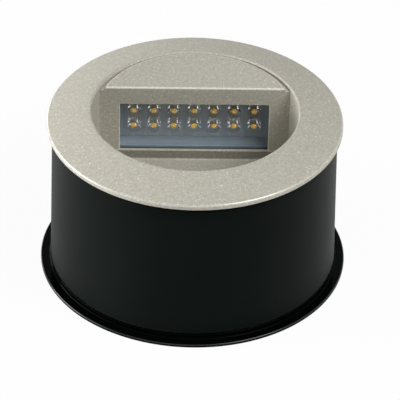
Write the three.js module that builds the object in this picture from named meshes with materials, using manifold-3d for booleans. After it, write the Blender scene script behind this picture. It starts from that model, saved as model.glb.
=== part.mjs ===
// Recessed spotlight: a round luminaire with a half-covered light pocket, standing in its mounting sleeve.
// Millimetres. +Z is up, out of the wall or floor; the origin is the centre of the base flange's underside.
// The light shines from the lamp chamber at +Y through its window towards -Y.

import * as THREE from 'three';
import { mergeVertices } from 'three/addons/utils/BufferGeometryUtils.js';
import Module from 'manifold-3d';

const wasm = await Module();
wasm.setup();

// Clearances that every piece shares
const seatGap = 0.3; // between a piece and what it rests on
const cutOverrun = 1; // how far a cutting shape reaches past the face it opens
const weldDistance = 0.0001; // corners closer than this are one corner

// Steps round each size of circle
const largeSteps = 60;
const mediumSteps = 24;
const smallSteps = 12;
const tinySteps = 8;
const hexSteps = 6;
const roundingSteps = 2;
const domeSteps = 5;

// Base flange: a glossy disc with a collar, and a spigot inside the sleeve
const flangeReach = 3.6; // beyond the collar
const flangeRim = 1.4;
const flangeRounding = 0.4;
const collarReach = 0.2; // beyond the sleeve's foot
const collarTop = 3.45;
const collarFillet = 0.5;
const baseFloor = 2.2;
const spigotRise = 7.5; // above the collar
const spigotWall = 2.2;

// Cable grommet in the middle of the base flange
const grommetNeckRadius = 6.2;
const grommetWall = 2.2;
const grommetLipReach = 2.3; // beyond the neck
const grommetLip = 1.2;

// Mounting sleeve: it widens a little towards the base
const springRoom = 9.6; // between the rear housing and the sleeve's bore
const sleeveWall = 2.2;
const sleeveTaper = 0.7;
const sleeveRounding = 0.4;

// Gasket ring between the sleeve's rim and the trim
const gasketThickness = 1.3;
const gasketInset = 0.1;

// Trim ring: a shallow dome round the opening
const openingRadius = 38.4;
const trimOverhang = 2; // beyond the sleeve's top
const trimEdge = 1.8;
const domeRise = 4.3;
const domePowerShare = 1.25;
const trimOuterRounding = 0.9;
const trimInnerRounding = 0.7;
const trimLand = 1.6; // the rim's underside outside the gasket's rebate, which lies on the wall
const trimRebate = 0.3;
const trimSeatLap = 1.4; // how far the rebate reaches inside the sleeve's bore
const trimSeatDepth = 1.7; // from the rim's underside up to the housing's flange

// Luminaire housing: the pocket that the light falls into, and the lamp chamber behind its wall
const pocketSetback = 0.2; // the pocket's round wall stands back from the trim's edge
const floorThickness = 1.7;
const housingWall = 2.6;
const housingFlange = 2.2;
const flangeClearance = 0.4; // round the flange in the trim
const lampDepth = 24.05; // from the pocket's straight back wall to the back of its circle
const windowWall = 1.1;
const chamberHalfWidth = 29.5;
const chamberWall = 2.4;

// Window in the pocket's back wall
const windowSide = 1.6; // from the chamber's side to the window's end
const windowSill = 4.45; // from the pocket's floor up to the window
const windowHeight = 20.4;
const windowHeader = 3.05; // from the window's top up to the housing's

// Hood: the half disc over the lamp chamber, with a flange that the trim ring holds down
const hoodStep = 1.2; // the raised half disc stands this far above the ledge round it
const hoodBelowLip = 0.2;
const hoodInset = 2.6; // its arc is this much smaller than the opening
const hoodFlange = 1.2;
const hoodFlangeLap = 0.7; // beyond the chamber's corners
const hoodPlugDepth = 1.2;

// What lies behind the window, in order from the wall backwards
const windowGasket = 0.8;
const windowGasketLip = 0.3; // the gasket stands back this far from the window's edge
const glassThickness = 1.4;
const spacerSide = 0.5; // the spacer's opening reaches this far past the window's ends
const boardThickness = 1.6;
const padThickness = 3;

// Light-emitting diodes
const ledRows = 2;
const ledPitch = 7.55;
const ledRowPitch = 6.7;
const ledRowLift = 6.25; // the lower row above the window's sill
const ledEndRoom = 5; // from the window's end to a diode's axis, at least
const ledRadius = 2.5;
const ledCollarReach = 0.3;
const ledCollar = 1;
const ledLength = 5.9;
const ledTipRoom = 0.3; // added to the diode's length in the spacer
const ledDomeSteps = 3;

// Thermal pad between the board and the chamber's back
const padInset = 3.2;
const padOverScrew = 2.8; // above the board screws' axes
const padUnderTop = 3;
const padBesideLead = 4;

// Screws: shank radius, head radius, head height and length under the head
const boardScrew = { shank: 0.9, head: 1.7, headHeight: 1.2, length: 6 };
const trimScrew = { shank: 1.25, head: 2.3, headHeight: 1.8, length: 4.6 };
const rearScrew = { shank: 1.4, head: 2.8, headHeight: 1.9, length: 11 };
const driverScrew = { shank: 1.1, head: 2.2, headHeight: 1.5, length: 3.6 };
const springScrew = { shank: 1.2, head: 2.2, headHeight: 1.4, length: 2.9 };
const screwClearance = 0.3; // round each shank in its hole
const driverCutWidth = 0.5; // the screwdriver slot
const driverCutDepthShare = 0.4;
const boardScrewInset = 3.2; // from the board's end
const boardScrewLift = 1.65; // from the board's lower edge
const trimScrewSetback = 3.2; // outside the housing's round wall
const trimScrewAzimuths = [-90, 20, 160];
const trimScrewDepth = 2.2;

// Leads between the lamp chamber and the electronics
const leadRadius = 0.5;
const leadSpacing = 1.24;
const leadFromScrew = 12;
const leadFromBack = 1.9; // from the chamber's back wall
const leadRise = 7.75; // above the pocket's floor
const leadBend = 3;
const leadFromEdge = 2.5; // from the driver board's edge
const leadSteps = 14;
const leadSides = 8;
const leadRoom = 0.13; // round the two leads in their grommet
const leadGrommetWall = 0.3;
const leadGrommetLipReach = 1.25;
const leadGrommetLipHeight = 0.9;

// Rear housing: the can that holds the electronics
const canWall = 2.2;
const canFloor = 2.3;
const canHeadroom = 0.9; // above the tallest component
const canSealThickness = 0.7;
const canSealInset = 0.2;
const cornerAzimuths = [45, 135, 225, 315]; // the posts, and the pegs further in
const postRadius = 3.2;
const postRoom = 0.4; // between a post and the can's wall
const postBore = 12;
const pegRadius = 2.4;
const pegInset = 6; // from the driver board's edge
const pegHeight = 2.4;
const pegBore = 2;
const pegScrewAzimuths = [225, 45];

// Driver board and what stands on it, each component's place as shares of the board's radius
const driverRoom = 0.7; // between the board's edge and the posts
const driverHoleRoom = 0.5; // round the gland's locknut
const driverThickness = 1.6;
const transformer = { xShare: -0.6, yShare: -0.03, width: 15, depth: 13, height: 10 };
const transformerCore = 6; // its height, half way up the bobbin
const transformerCoreInset = 2;
const smoothingCapacitor = { xShare: 0.25, yShare: 0.6, radius: 4.5, height: 10, rounding: 0.6 };
const filmCapacitor = { xShare: 0.59, yShare: -0.25, width: 12, depth: 5.5, height: 9 };
const bridgeRectifier = { xShare: -0.25, yShare: 0.6, width: 8, depth: 6.5, height: 3 };
const terminalBlock = { xShare: 0, yShare: -0.635, width: 15, depth: 8, height: 10 };
const terminalWays = 3;
const terminalWireHole = 1.4;
const terminalScrewHole = 1.6;
const terminalHoleDepth = 4;
const terminalHoleLift = 3.4;

// Cable gland on the axis, under the rear housing
const glandLift = 2; // the nut's underside above the base's floor
const glandThread = 6;
const glandWall = 1.8;
const glandHexReach = 2.8; // beyond the thread
const glandHexHeight = 2.3;
const glandInside = 3.7; // thread above the can's floor
const glandSocketWall = 0.7;
const glandSocketDepth = 4.2;
const glandSocketStep = 0.5;
const glandSealWall = 1.8;
const glandSealLength = 4.5;
const glandNutReach = 2.4; // beyond the thread
const glandNutHeight = 6.4;
const glandNutFloor = 1.1;
const glandNutRoom = 0.2; // its bore is this much wider than the seal's
const glandNutChamfer = 1;
const locknutReach = 3; // beyond the thread
const locknutHeight = 2.1;

// Leaf springs that brace the luminaire in the sleeve
const springAzimuths = [-90, 30, 150];
const springThickness = 0.5;
const springWidth = 9;
const springPlateHalf = 2.6;
const springUnderTop = 4.1; // the screw below the can's rim
const springCrestDrop = 8.6; // the crest below the screw
const springTipDrop = 4.4; // the tip below the crest
const springTipInset = 4.2; // how far the tip bends back from the crest
const springSteps = 9;

// Radii worked out from the opening outwards
const pocketRadius = openingRadius + pocketSetback;
const canRadius = pocketRadius + housingWall;
const sleeveBore = canRadius + springRoom;
const sleeveTopRadius = sleeveBore + sleeveWall;
const sleeveBaseRadius = sleeveTopRadius + sleeveTaper;
const collarRadius = sleeveBaseRadius + collarReach;
const flangeRadius = collarRadius + flangeReach;
const trimRadius = sleeveTopRadius + trimOverhang;
const trimSeatInner = sleeveBore - trimSeatLap;
const housingFlangeRadius = trimSeatInner - flangeClearance;
const trimScrewCircle = canRadius + trimScrewSetback;
const ledgeRadius = openingRadius - seatGap;
const hoodRadius = openingRadius - hoodInset;
const hoodShift = ledgeRadius - hoodRadius; // its arc's centre lies this far behind the axis
const postCircle = canRadius - canWall - postRadius - postRoom;
const driverRadius = postCircle - postRadius - driverRoom;
const pegCircle = driverRadius - pegInset;
const ledCollarRadius = ledRadius + ledCollarReach;
const glandSocketBore = glandThread - glandSocketWall;
const glandSealBore = glandSocketBore - seatGap - glandSealWall;
const locknutRadius = glandThread + locknutReach;
const leadGrommetBore = leadSpacing / 2 + leadRadius + leadRoom;
const leadGrommetRadius = leadGrommetBore + leadGrommetWall;

// Depths worked out from the pocket's straight wall backwards
const chordPlace = pocketRadius - lampDepth;
const gasketFront = chordPlace + windowWall + seatGap;
const glassFront = gasketFront + windowGasket + seatGap;
const spacerFront = glassFront + glassThickness + seatGap;
const spacerBack = spacerFront + ledLength + ledTipRoom;
const boardFront = spacerBack + seatGap;
const boardBack = boardFront + boardThickness;
const chamberBack = boardBack + seatGap + padThickness + seatGap;
const chamberInnerCorner = Math.hypot(chamberHalfWidth, chamberBack);
const chamberCornerRadius = chamberInnerCorner + chamberWall;
const hoodFlangeRadius = chamberInnerCorner + hoodFlangeLap;

// Heights worked out from the base upwards
const glandNutBottom = baseFloor + glandLift;
const glandHexBottom = glandNutBottom + glandNutHeight + seatGap;
const glandShoulder = glandHexBottom + glandHexHeight;
const glandSealBottom = glandNutBottom + glandNutFloor + seatGap;
const canBottom = glandShoulder + seatGap;
const canFloorTop = canBottom + canFloor;
const driverBottom = canFloorTop + pegHeight + seatGap;
const driverTop = driverBottom + driverThickness;
const componentSeat = driverTop + seatGap;
const tallest = Math.max(...[transformer, smoothingCapacitor, filmCapacitor, bridgeRectifier, terminalBlock]
  .map((component) => component.height));
const canTop = componentSeat + tallest + canHeadroom;
const housingBottom = canTop + seatGap + canSealThickness + seatGap;
const pocketFloor = housingBottom + floorThickness;
const windowBottom = pocketFloor + windowSill;
const windowTop = windowBottom + windowHeight;
const housingTop = windowTop + windowHeader;
const trimInnerUnderside = housingTop + seatGap;
const trimUnderside = trimInnerUnderside - trimSeatDepth;
const trimEdgeTop = trimUnderside + trimEdge;
const trimLip = trimEdgeTop + domeRise;
const gasketTop = trimUnderside + trimRebate - seatGap;
const sleeveTop = gasketTop - gasketThickness - seatGap;
const hoodBottom = housingTop + seatGap;
const hoodTop = trimLip - hoodBelowLip;
const ledgeTop = hoodTop - hoodStep;
const plugBottom = hoodBottom - hoodPlugDepth;
const stackLow = pocketFloor + seatGap;
const stackHigh = plugBottom - seatGap;
const springScrewZ = canTop - springUnderTop;
const springCrestZ = springScrewZ - springCrestDrop;
const springTipZ = springCrestZ - springTipDrop;

// Widths and places along the board and the window
const windowHalfWidth = chamberHalfWidth - windowSide;
const stackHalfWidth = chamberHalfWidth - seatGap;
const ledColumns = Math.floor((2 * (windowHalfWidth - ledEndRoom)) / ledPitch) + 1;
const ledLowerRow = windowBottom + ledRowLift;
const boardScrewX = stackHalfWidth - boardScrewInset;
const boardScrewZ = stackLow + boardScrewLift;
const leadX = boardScrewX - leadFromScrew;
const leadY = chamberBack - leadFromBack;
const leadLowY = Math.sqrt((driverRadius - leadFromEdge) ** 2 - leadX ** 2);

// Colours and finishes

function finish(colour, roughness, metalness, opacity = 1) {
  return new THREE.MeshStandardMaterial({
    color: new THREE.Color(colour),
    roughness,
    metalness,
    opacity,
    transparent: opacity < 1,
  });
}

const champagnePaint = finish('#b9b7a9', 0.5, 0.35);
const satinBlack = finish('#1b2120', 0.55, 0);
const glossBlack = finish('#0b0f0e', 0.12, 0);
const blackRubber = finish('#171817', 0.8, 0);
const greyRubber = finish('#3a3c3c', 0.85, 0);
const clearGlass = finish('#dfe8ea', 0.05, 0, 0.35);
const clearResin = finish('#f2ead0', 0.08, 0, 0.6);
const slateBoard = finish('#6d7a83', 0.45, 0);
const greenBoard = finish('#2c5c3c', 0.45, 0);
const padGrey = finish('#9aa4a8', 0.9, 0);
const zincSteel = finish('#b4b6b8', 0.35, 0.9);
const springSteel = finish('#9fa2a6', 0.3, 0.95);
const nickelBrass = finish('#b3ab93', 0.3, 0.9);
const redSleeve = finish('#a3211c', 0.5, 0);
const blackSleeve = finish('#161616', 0.5, 0);
const copperWinding = finish('#a9622e', 0.4, 0.6);
const capacitorSleeve = finish('#22324e', 0.4, 0);
const yellowCase = finish('#c5a02c', 0.5, 0);
const greyPlastic = finish('#5d6163', 0.55, 0);
const whitePlastic = finish('#cfd2cf', 0.5, 0);

// Helpers for closed geometry

function signedVolume(positions, corners) {
  const a = new THREE.Vector3();
  const b = new THREE.Vector3();
  const c = new THREE.Vector3();
  let sum = 0;
  for (let i = 0; i < corners.length; i += 3) {
    a.fromArray(positions, corners[i] * 3);
    b.fromArray(positions, corners[i + 1] * 3);
    c.fromArray(positions, corners[i + 2] * 3);
    sum += a.dot(b.cross(c));
  }
  return sum;
}

// One closed body with shared corners and outward faces
function closed(source) {
  const bare = source.clone();
  bare.deleteAttribute('normal');
  bare.deleteAttribute('uv');
  const merged = mergeVertices(bare, weldDistance);
  const kept = [];
  for (let i = 0; i < merged.index.count; i += 3) {
    const a = merged.index.getX(i);
    const b = merged.index.getX(i + 1);
    const c = merged.index.getX(i + 2);
    if (a !== b && b !== c && c !== a) kept.push(a, b, c);
  }
  if (signedVolume(merged.attributes.position.array, kept) < 0) kept.reverse();
  merged.setIndex(kept);
  return merged;
}

function toSolid(source) {
  const geometry = closed(source);
  return new wasm.Manifold(new wasm.Mesh({
    numProp: 3,
    vertProperties: new Float32Array(geometry.attributes.position.array),
    triVerts: new Uint32Array(geometry.index.array),
  }));
}

function toGeometry(solid) {
  const { vertProperties, triVerts } = solid.getMesh();
  const geometry = new THREE.BufferGeometry();
  geometry.setAttribute('position', new THREE.BufferAttribute(new Float32Array(vertProperties), 3));
  geometry.setIndex(new THREE.BufferAttribute(new Uint32Array(triVerts), 1));
  return geometry;
}

// A body turned about the Z axis from [radius, height] pairs; the outline closes on itself
function turned(outline, steps) {
  const points = [...outline, outline[0]].map(([radius, height]) => new THREE.Vector2(radius, height));
  return new THREE.LatheGeometry(points, steps).rotateX(Math.PI / 2);
}

function disc(radius, low, high, steps) {
  return turned([[0, low], [radius, low], [radius, high], [0, high]], steps);
}

function ring(inner, outer, low, high, steps) {
  return turned([[inner, low], [outer, low], [outer, high], [inner, high]], steps);
}

function block(x0, x1, y0, y1, z0, z1) {
  const box = new THREE.BoxGeometry(x1 - x0, y1 - y0, z1 - z0);
  return box.translate((x0 + x1) / 2, (y0 + y1) / 2, (z0 + z1) / 2);
}

function arc(centreX, centreY, radius, fromDegrees, toDegrees, steps) {
  const points = [];
  for (let i = 0; i <= steps; i += 1) {
    const angle = THREE.MathUtils.degToRad(fromDegrees + (toDegrees - fromDegrees) * (i / steps));
    points.push([centreX + radius * Math.cos(angle), centreY + radius * Math.sin(angle)]);
  }
  return points;
}

// The part of a circle about (0, shift) that lies behind or in front of the chord at y, as [x, y] pairs
function segmentOutline(radius, shift, chord, behind) {
  const start = THREE.MathUtils.radToDeg(Math.asin((chord - shift) / radius));
  const end = behind ? 180 - start : -180 - start;
  return arc(0, shift, radius, start, end, largeSteps / 2);
}

// An [x, y] outline pulled up from one height to another
function raised(outline, low, high) {
  const shape = new THREE.Shape(outline.map(([x, y]) => new THREE.Vector2(x, y)));
  const pulled = new THREE.ExtrudeGeometry(shape, { depth: high - low, bevelEnabled: false });
  return pulled.translate(0, 0, low);
}

function without(source, ...cutters) {
  let solid = toSolid(source);
  for (const cutter of cutters) solid = solid.subtract(toSolid(cutter));
  return toGeometry(solid);
}

function joined(...sources) {
  let solid = toSolid(sources[0]);
  for (const source of sources.slice(1)) solid = solid.add(toSolid(source));
  return toGeometry(solid);
}

function hole(x, y, radius, low, high, steps = smallSteps) {
  return disc(radius, low, high, steps).translate(x, y, 0);
}

function polar(radius, degrees) {
  const angle = THREE.MathUtils.degToRad(degrees);
  return [radius * Math.cos(angle), radius * Math.sin(angle)];
}

// A slotted pan-head screw standing on its head's underside at zero, with its shank up +Z
function screwGeometry({ shank, head, headHeight, length }) {
  const body = turned([
    [0, -headHeight],
    [head, -headHeight],
    [head, 0],
    [shank, 0],
    [shank, length],
    [0, length],
  ], smallSteps);
  const slotDepth = headHeight * driverCutDepthShare;
  const slot = block(-head - cutOverrun, head + cutOverrun, -driverCutWidth / 2, driverCutWidth / 2,
    -headHeight - cutOverrun, -headHeight + slotDepth);
  return without(body, slot);
}

const spotlight = new THREE.Group();
spotlight.name = 'recessed_spotlight';

function addPiece(name, geometry, material, parent = spotlight) {
  const mesh = new THREE.Mesh(closed(geometry), material);
  mesh.name = name;
  parent.add(mesh);
  return mesh;
}

// The mounting box: base flange, sleeve and cable grommet

function baseFlangeGeometry() {
  const spigotRadius = sleeveBore - seatGap;
  const spigotTop = collarTop + spigotRise;
  const neckHole = grommetNeckRadius + seatGap;
  const edge = flangeRadius - flangeRounding;
  return turned([
    [neckHole, 0],
    ...arc(edge, flangeRounding, flangeRounding, -90, 0, roundingSteps),
    ...arc(edge, flangeRim - flangeRounding, flangeRounding, 0, 90, roundingSteps),
    ...arc(collarRadius + collarFillet, flangeRim + collarFillet, collarFillet, -90, -180, roundingSteps),
    [collarRadius, collarTop],
    [spigotRadius, collarTop],
    [spigotRadius, spigotTop],
    [spigotRadius - spigotWall, spigotTop],
    [spigotRadius - spigotWall, baseFloor],
    [neckHole, baseFloor],
  ], largeSteps);
}

function cableGrommetGeometry() {
  const lipBottom = baseFloor + seatGap;
  const bore = grommetNeckRadius - grommetWall;
  const lipRadius = grommetNeckRadius + grommetLipReach;
  return turned([
    [bore, seatGap],
    [grommetNeckRadius, seatGap],
    [grommetNeckRadius, lipBottom],
    [lipRadius, lipBottom],
    [lipRadius, lipBottom + grommetLip],
    [bore, lipBottom + grommetLip],
  ], mediumSteps);
}

function mountingSleeveGeometry() {
  const bottom = collarTop + seatGap;
  return turned([
    [sleeveBore, bottom],
    [sleeveBaseRadius, bottom],
    ...arc(sleeveTopRadius - sleeveRounding, sleeveTop - sleeveRounding, sleeveRounding, 0, 90,
      roundingSteps),
    [sleeveBore, sleeveTop],
  ], largeSteps);
}

addPiece('base_flange', baseFlangeGeometry(), glossBlack);
addPiece('cable_grommet', cableGrommetGeometry(), blackRubber);
addPiece('mounting_sleeve', mountingSleeveGeometry(), satinBlack);
addPiece('trim_gasket', ring(sleeveBore + gasketInset, sleeveTopRadius - gasketInset,
  gasketTop - gasketThickness, gasketTop, largeSteps), blackRubber);

// The trim ring's upper surface at a distance from the axis
function domeHeight(radius) {
  const outwardShare = (radius - openingRadius) / (trimRadius - openingRadius);
  return trimEdgeTop + domeRise * (1 - outwardShare ** domePowerShare);
}

function trimRingGeometry() {
  const innerStart = openingRadius + trimInnerRounding;
  const outerEnd = trimRadius - trimOuterRounding;
  const innerTop = domeHeight(innerStart);
  const outerTop = domeHeight(outerEnd);
  const crown = [];
  for (let i = 1; i < domeSteps; i += 1) {
    const radius = innerStart + (outerEnd - innerStart) * (i / domeSteps);
    crown.push([radius, domeHeight(radius)]);
  }
  const body = turned([
    [openingRadius, trimInnerUnderside],
    ...arc(innerStart, innerTop - trimInnerRounding, trimInnerRounding, 180, 90, roundingSteps),
    ...crown,
    ...arc(outerEnd, outerTop - trimOuterRounding, trimOuterRounding, 75, 0, roundingSteps),
    [trimRadius, trimUnderside],
    [trimRadius - trimLand, trimUnderside],
    [trimRadius - trimLand, trimUnderside + trimRebate],
    [trimSeatInner, trimUnderside + trimRebate],
    [trimSeatInner, trimInnerUnderside],
  ], largeSteps);
  const holes = trimScrewAzimuths.map((azimuth) => hole(...polar(trimScrewCircle, azimuth),
    trimScrew.shank + screwClearance, trimInnerUnderside - cutOverrun, trimInnerUnderside + trimScrewDepth));
  return without(body, hoodFlangeBody(seatGap, trimInnerUnderside - cutOverrun,
    hoodBottom + hoodFlange + seatGap), ...holes);
}

// The hood's flange over the lamp chamber, larger all round by a clearance
function hoodFlangeBody(clearance, low, high) {
  const side = chamberHalfWidth + chamberWall + clearance;
  const slab = block(-side, side, chordPlace - clearance, hoodFlangeRadius + cutOverrun, low, high);
  const round = disc(hoodFlangeRadius + clearance, low, high, largeSteps);
  return toGeometry(toSolid(slab).intersect(toSolid(round)));
}

// The housing: pocket, lamp chamber, flange under the trim and four posts for the rear housing's screws
function housingGeometry() {
  const boxEdge = chamberHalfWidth + chamberWall;
  const body = turned([
    [0, housingBottom],
    [canRadius, housingBottom],
    [canRadius, housingTop - housingFlange],
    [housingFlangeRadius, housingTop - housingFlange],
    [housingFlangeRadius, housingTop],
    [0, housingTop],
  ], largeSteps);
  const box = block(-boxEdge, boxEdge, chordPlace, chamberBack + chamberWall, housingBottom, housingTop);
  const boxRound = disc(chamberCornerRadius, housingBottom, housingTop, largeSteps);
  const chamberBox = toGeometry(toSolid(box).intersect(toSolid(boxRound)));
  const posts = [];
  const postHoles = [];
  const postBottom = canFloorTop + seatGap;
  for (const azimuth of cornerAzimuths) {
    const place = polar(postCircle, azimuth);
    posts.push(hole(...place, postRadius, postBottom, pocketFloor - floorThickness / 2));
    postHoles.push(hole(...place, rearScrew.shank + screwClearance, postBottom - cutOverrun,
      postBottom + postBore));
  }
  const trimHoles = trimScrewAzimuths.map((azimuth) => hole(...polar(trimScrewCircle, azimuth),
    trimScrew.shank + screwClearance, housingTop - housingFlange - cutOverrun, housingTop + cutOverrun));
  const pocket = raised(segmentOutline(pocketRadius, 0, chordPlace, false),
    pocketFloor, housingTop + cutOverrun);
  const chamber = block(-chamberHalfWidth, chamberHalfWidth, chordPlace + windowWall, chamberBack,
    pocketFloor, housingTop + cutOverrun);
  const opening = block(-windowHalfWidth, windowHalfWidth, chordPlace - cutOverrun,
    chordPlace + windowWall + cutOverrun, windowBottom, windowTop);
  const leadHole = hole(leadX, leadY, leadGrommetRadius + screwClearance, housingBottom - cutOverrun,
    pocketFloor + cutOverrun);
  return without(joined(body, chamberBox, ...posts), pocket, chamber, opening, leadHole,
    ...postHoles, ...trimHoles);
}

// A frame standing upright behind the window: an outer block less its opening
function uprightFrame(front, back, outer, inner) {
  return without(
    block(-outer.halfWidth, outer.halfWidth, front, back, outer.low, outer.high),
    block(-inner.halfWidth, inner.halfWidth, front - cutOverrun, back + cutOverrun, inner.low, inner.high),
  );
}

const stackOutline = { halfWidth: stackHalfWidth, low: stackLow, high: stackHigh };
const gasketOpening = {
  halfWidth: windowHalfWidth + windowGasketLip,
  low: windowBottom - windowGasketLip,
  high: windowTop + windowGasketLip,
};
const spacerOpening = { ...gasketOpening, halfWidth: windowHalfWidth + spacerSide };

// The hood: a raised half disc on a ledge, the flange under the trim, and a plug in the chamber's mouth
function hoodGeometry() {
  const ledge = raised(segmentOutline(ledgeRadius, 0, chordPlace, true), hoodBottom, ledgeTop);
  const raisedPart = raised(segmentOutline(hoodRadius, hoodShift, chordPlace, true), hoodBottom, hoodTop);
  const flange = hoodFlangeBody(0, hoodBottom, hoodBottom + hoodFlange);
  const plug = block(-stackHalfWidth, stackHalfWidth, chordPlace + windowWall + seatGap,
    chamberBack - seatGap, plugBottom, hoodBottom + hoodFlange);
  return joined(ledge, raisedPart, flange, plug);
}

// A diode: collar at the board, barrel and dome, pointing along -Y from its own origin
function ledGeometry() {
  const barrel = ledLength - ledRadius;
  const dome = arc(0, barrel, ledRadius, 0, 90, ledDomeSteps);
  const outline = [
    [0, 0],
    [ledCollarRadius, 0],
    [ledCollarRadius, ledCollar],
    [ledRadius, ledCollar],
    ...dome,
  ];
  return turned(outline, smallSteps).rotateX(Math.PI / 2);
}

function ledBoardGeometry() {
  const plate = block(-stackHalfWidth, stackHalfWidth, boardFront, boardBack, stackLow, stackHigh);
  return without(plate, ...boardScrewHoles(boardFront - cutOverrun, boardBack + cutOverrun));
}

function boardScrewHoles(front, back) {
  const radius = boardScrew.shank + screwClearance;
  return [-1, 1].map((side) => disc(radius, 0, back - front, smallSteps).rotateX(-Math.PI / 2)
    .translate(side * boardScrewX, front, boardScrewZ));
}

function spacerGeometry() {
  const frame = uprightFrame(spacerFront, spacerBack, stackOutline, spacerOpening);
  const holeFront = boardBack + seatGap - boardScrew.length - seatGap;
  return without(frame, ...boardScrewHoles(holeFront, spacerBack + cutOverrun));
}

const luminaire = new THREE.Group();
spotlight.add(luminaire);

addPiece('trim_ring', trimRingGeometry(), champagnePaint, luminaire);
addPiece('luminaire_housing', housingGeometry(), champagnePaint, luminaire);
addPiece('hood', hoodGeometry(), champagnePaint, luminaire);
addPiece('window_gasket', uprightFrame(gasketFront, gasketFront + windowGasket, stackOutline, gasketOpening),
  greyRubber, luminaire);
addPiece('window_glass', block(-stackHalfWidth, stackHalfWidth, glassFront, glassFront + glassThickness,
  stackLow, stackHigh), clearGlass, luminaire);
addPiece('spacer_frame', spacerGeometry(), slateBoard, luminaire);
addPiece('led_board', ledBoardGeometry(), slateBoard, luminaire);

for (let row = 0; row < ledRows; row += 1) {
  for (let column = 0; column < ledColumns; column += 1) {
    const number = String(row * ledColumns + column + 1).padStart(2, '0');
    const led = addPiece(`led_${number}`, ledGeometry(), clearResin, luminaire);
    const x = (column - (ledColumns - 1) / 2) * ledPitch;
    led.position.set(x, boardFront - seatGap, ledLowerRow + row * ledRowPitch);
  }
}

for (const [number, side] of [[1, -1], [2, 1]]) {
  const screw = addPiece(`board_screw_${number}`, screwGeometry(boardScrew), zincSteel, luminaire);
  screw.rotation.x = Math.PI / 2;
  screw.position.set(side * boardScrewX, boardBack + seatGap, boardScrewZ);
}

addPiece('thermal_pad', block(padInset - stackHalfWidth, leadX - padBesideLead, boardBack + seatGap,
  chamberBack - seatGap, boardScrewZ + padOverScrew, stackHigh - padUnderTop), padGrey, luminaire);

trimScrewAzimuths.forEach((azimuth, index) => {
  const screw = addPiece(`trim_screw_${index + 1}`, screwGeometry(trimScrew), zincSteel, luminaire);
  const [x, y] = polar(trimScrewCircle, azimuth);
  screw.position.set(x, y, housingTop - housingFlange - seatGap);
});

// Two leads from the back of the diode board, down through the chamber's floor to the driver board
function leadGeometry(x) {
  const leadTop = pocketFloor + leadRise;
  const route = new THREE.CatmullRomCurve3([
    new THREE.Vector3(x, boardBack + seatGap, leadTop + leadBend),
    new THREE.Vector3(x, leadY, leadTop),
    new THREE.Vector3(x, leadY, pocketFloor),
    new THREE.Vector3(x, leadY, housingBottom - leadBend),
    new THREE.Vector3(x, leadLowY, driverTop + leadBend),
    new THREE.Vector3(x, leadLowY, driverTop + seatGap),
  ]);
  const section = new THREE.Shape(arc(0, 0, leadRadius, 0, 360, leadSides).slice(1)
    .map(([u, v]) => new THREE.Vector2(u, v)));
  return new THREE.ExtrudeGeometry(section, { steps: leadSteps, extrudePath: route, bevelEnabled: false });
}

addPiece('lead_red', leadGeometry(leadX - leadSpacing / 2), redSleeve, luminaire);
addPiece('lead_black', leadGeometry(leadX + leadSpacing / 2), blackSleeve, luminaire);

function leadGrommetGeometry() {
  const lipTop = housingBottom - seatGap;
  const outline = turned([
    [leadGrommetBore, lipTop - leadGrommetLipHeight],
    [leadGrommetRadius + leadGrommetLipReach, lipTop - leadGrommetLipHeight],
    [leadGrommetRadius + leadGrommetLipReach, lipTop],
    [leadGrommetRadius, lipTop],
    [leadGrommetRadius, pocketFloor],
    [leadGrommetBore, pocketFloor],
  ], smallSteps);
  return outline.translate(leadX, leadY, 0);
}

addPiece('lead_grommet', leadGrommetGeometry(), blackRubber, luminaire);

// The rear housing with its seal, screws, electronics and cable gland

function rearHousingGeometry() {
  const inner = canRadius - canWall;
  const can = turned([
    [0, canBottom],
    [canRadius, canBottom],
    [canRadius, canTop],
    [inner, canTop],
    [inner, canFloorTop],
    [0, canFloorTop],
  ], largeSteps);
  const pegs = [];
  const holes = [hole(0, 0, glandThread + seatGap, canBottom - cutOverrun, canFloorTop + cutOverrun,
    mediumSteps)];
  for (const azimuth of cornerAzimuths) {
    pegs.push(hole(...polar(pegCircle, azimuth), pegRadius, canFloorTop - canFloor / 2,
      canFloorTop + pegHeight));
    holes.push(hole(...polar(postCircle, azimuth), rearScrew.shank + screwClearance, canBottom - cutOverrun,
      canFloorTop + cutOverrun));
  }
  for (const azimuth of pegScrewAzimuths) {
    holes.push(hole(...polar(pegCircle, azimuth), driverScrew.shank + screwClearance,
      canFloorTop + pegHeight - pegBore, canFloorTop + pegHeight + cutOverrun));
  }
  for (const azimuth of springAzimuths) {
    const reach = canRadius + cutOverrun;
    const bore = disc(springScrew.shank + screwClearance, inner - cutOverrun, reach, smallSteps);
    bore.rotateY(Math.PI / 2).rotateZ(THREE.MathUtils.degToRad(azimuth)).translate(0, 0, springScrewZ);
    holes.push(bore);
  }
  return without(joined(can, ...pegs), ...holes);
}

addPiece('rear_housing', rearHousingGeometry(), satinBlack, luminaire);
addPiece('housing_seal', ring(canRadius - canWall + canSealInset, canRadius - canSealInset, canTop + seatGap,
  canTop + seatGap + canSealThickness, largeSteps), greyRubber, luminaire);

cornerAzimuths.forEach((azimuth, index) => {
  const screw = addPiece(`rear_screw_${index + 1}`, screwGeometry(rearScrew), zincSteel, luminaire);
  screw.position.set(...polar(postCircle, azimuth), canBottom - seatGap);
});

function driverBoardGeometry() {
  const holes = pegScrewAzimuths.map((azimuth) => hole(...polar(pegCircle, azimuth),
    driverScrew.shank + screwClearance, driverBottom - cutOverrun, driverTop + cutOverrun));
  const plate = ring(locknutRadius + driverHoleRoom, driverRadius, driverBottom, driverTop, mediumSteps);
  return without(plate, ...holes);
}

addPiece('driver_board', driverBoardGeometry(), greenBoard, luminaire);

pegScrewAzimuths.forEach((azimuth, index) => {
  const screw = addPiece(`driver_screw_${index + 1}`, screwGeometry(driverScrew), zincSteel, luminaire);
  screw.rotation.x = Math.PI;
  screw.position.set(...polar(pegCircle, azimuth), driverTop + seatGap);
});

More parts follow.
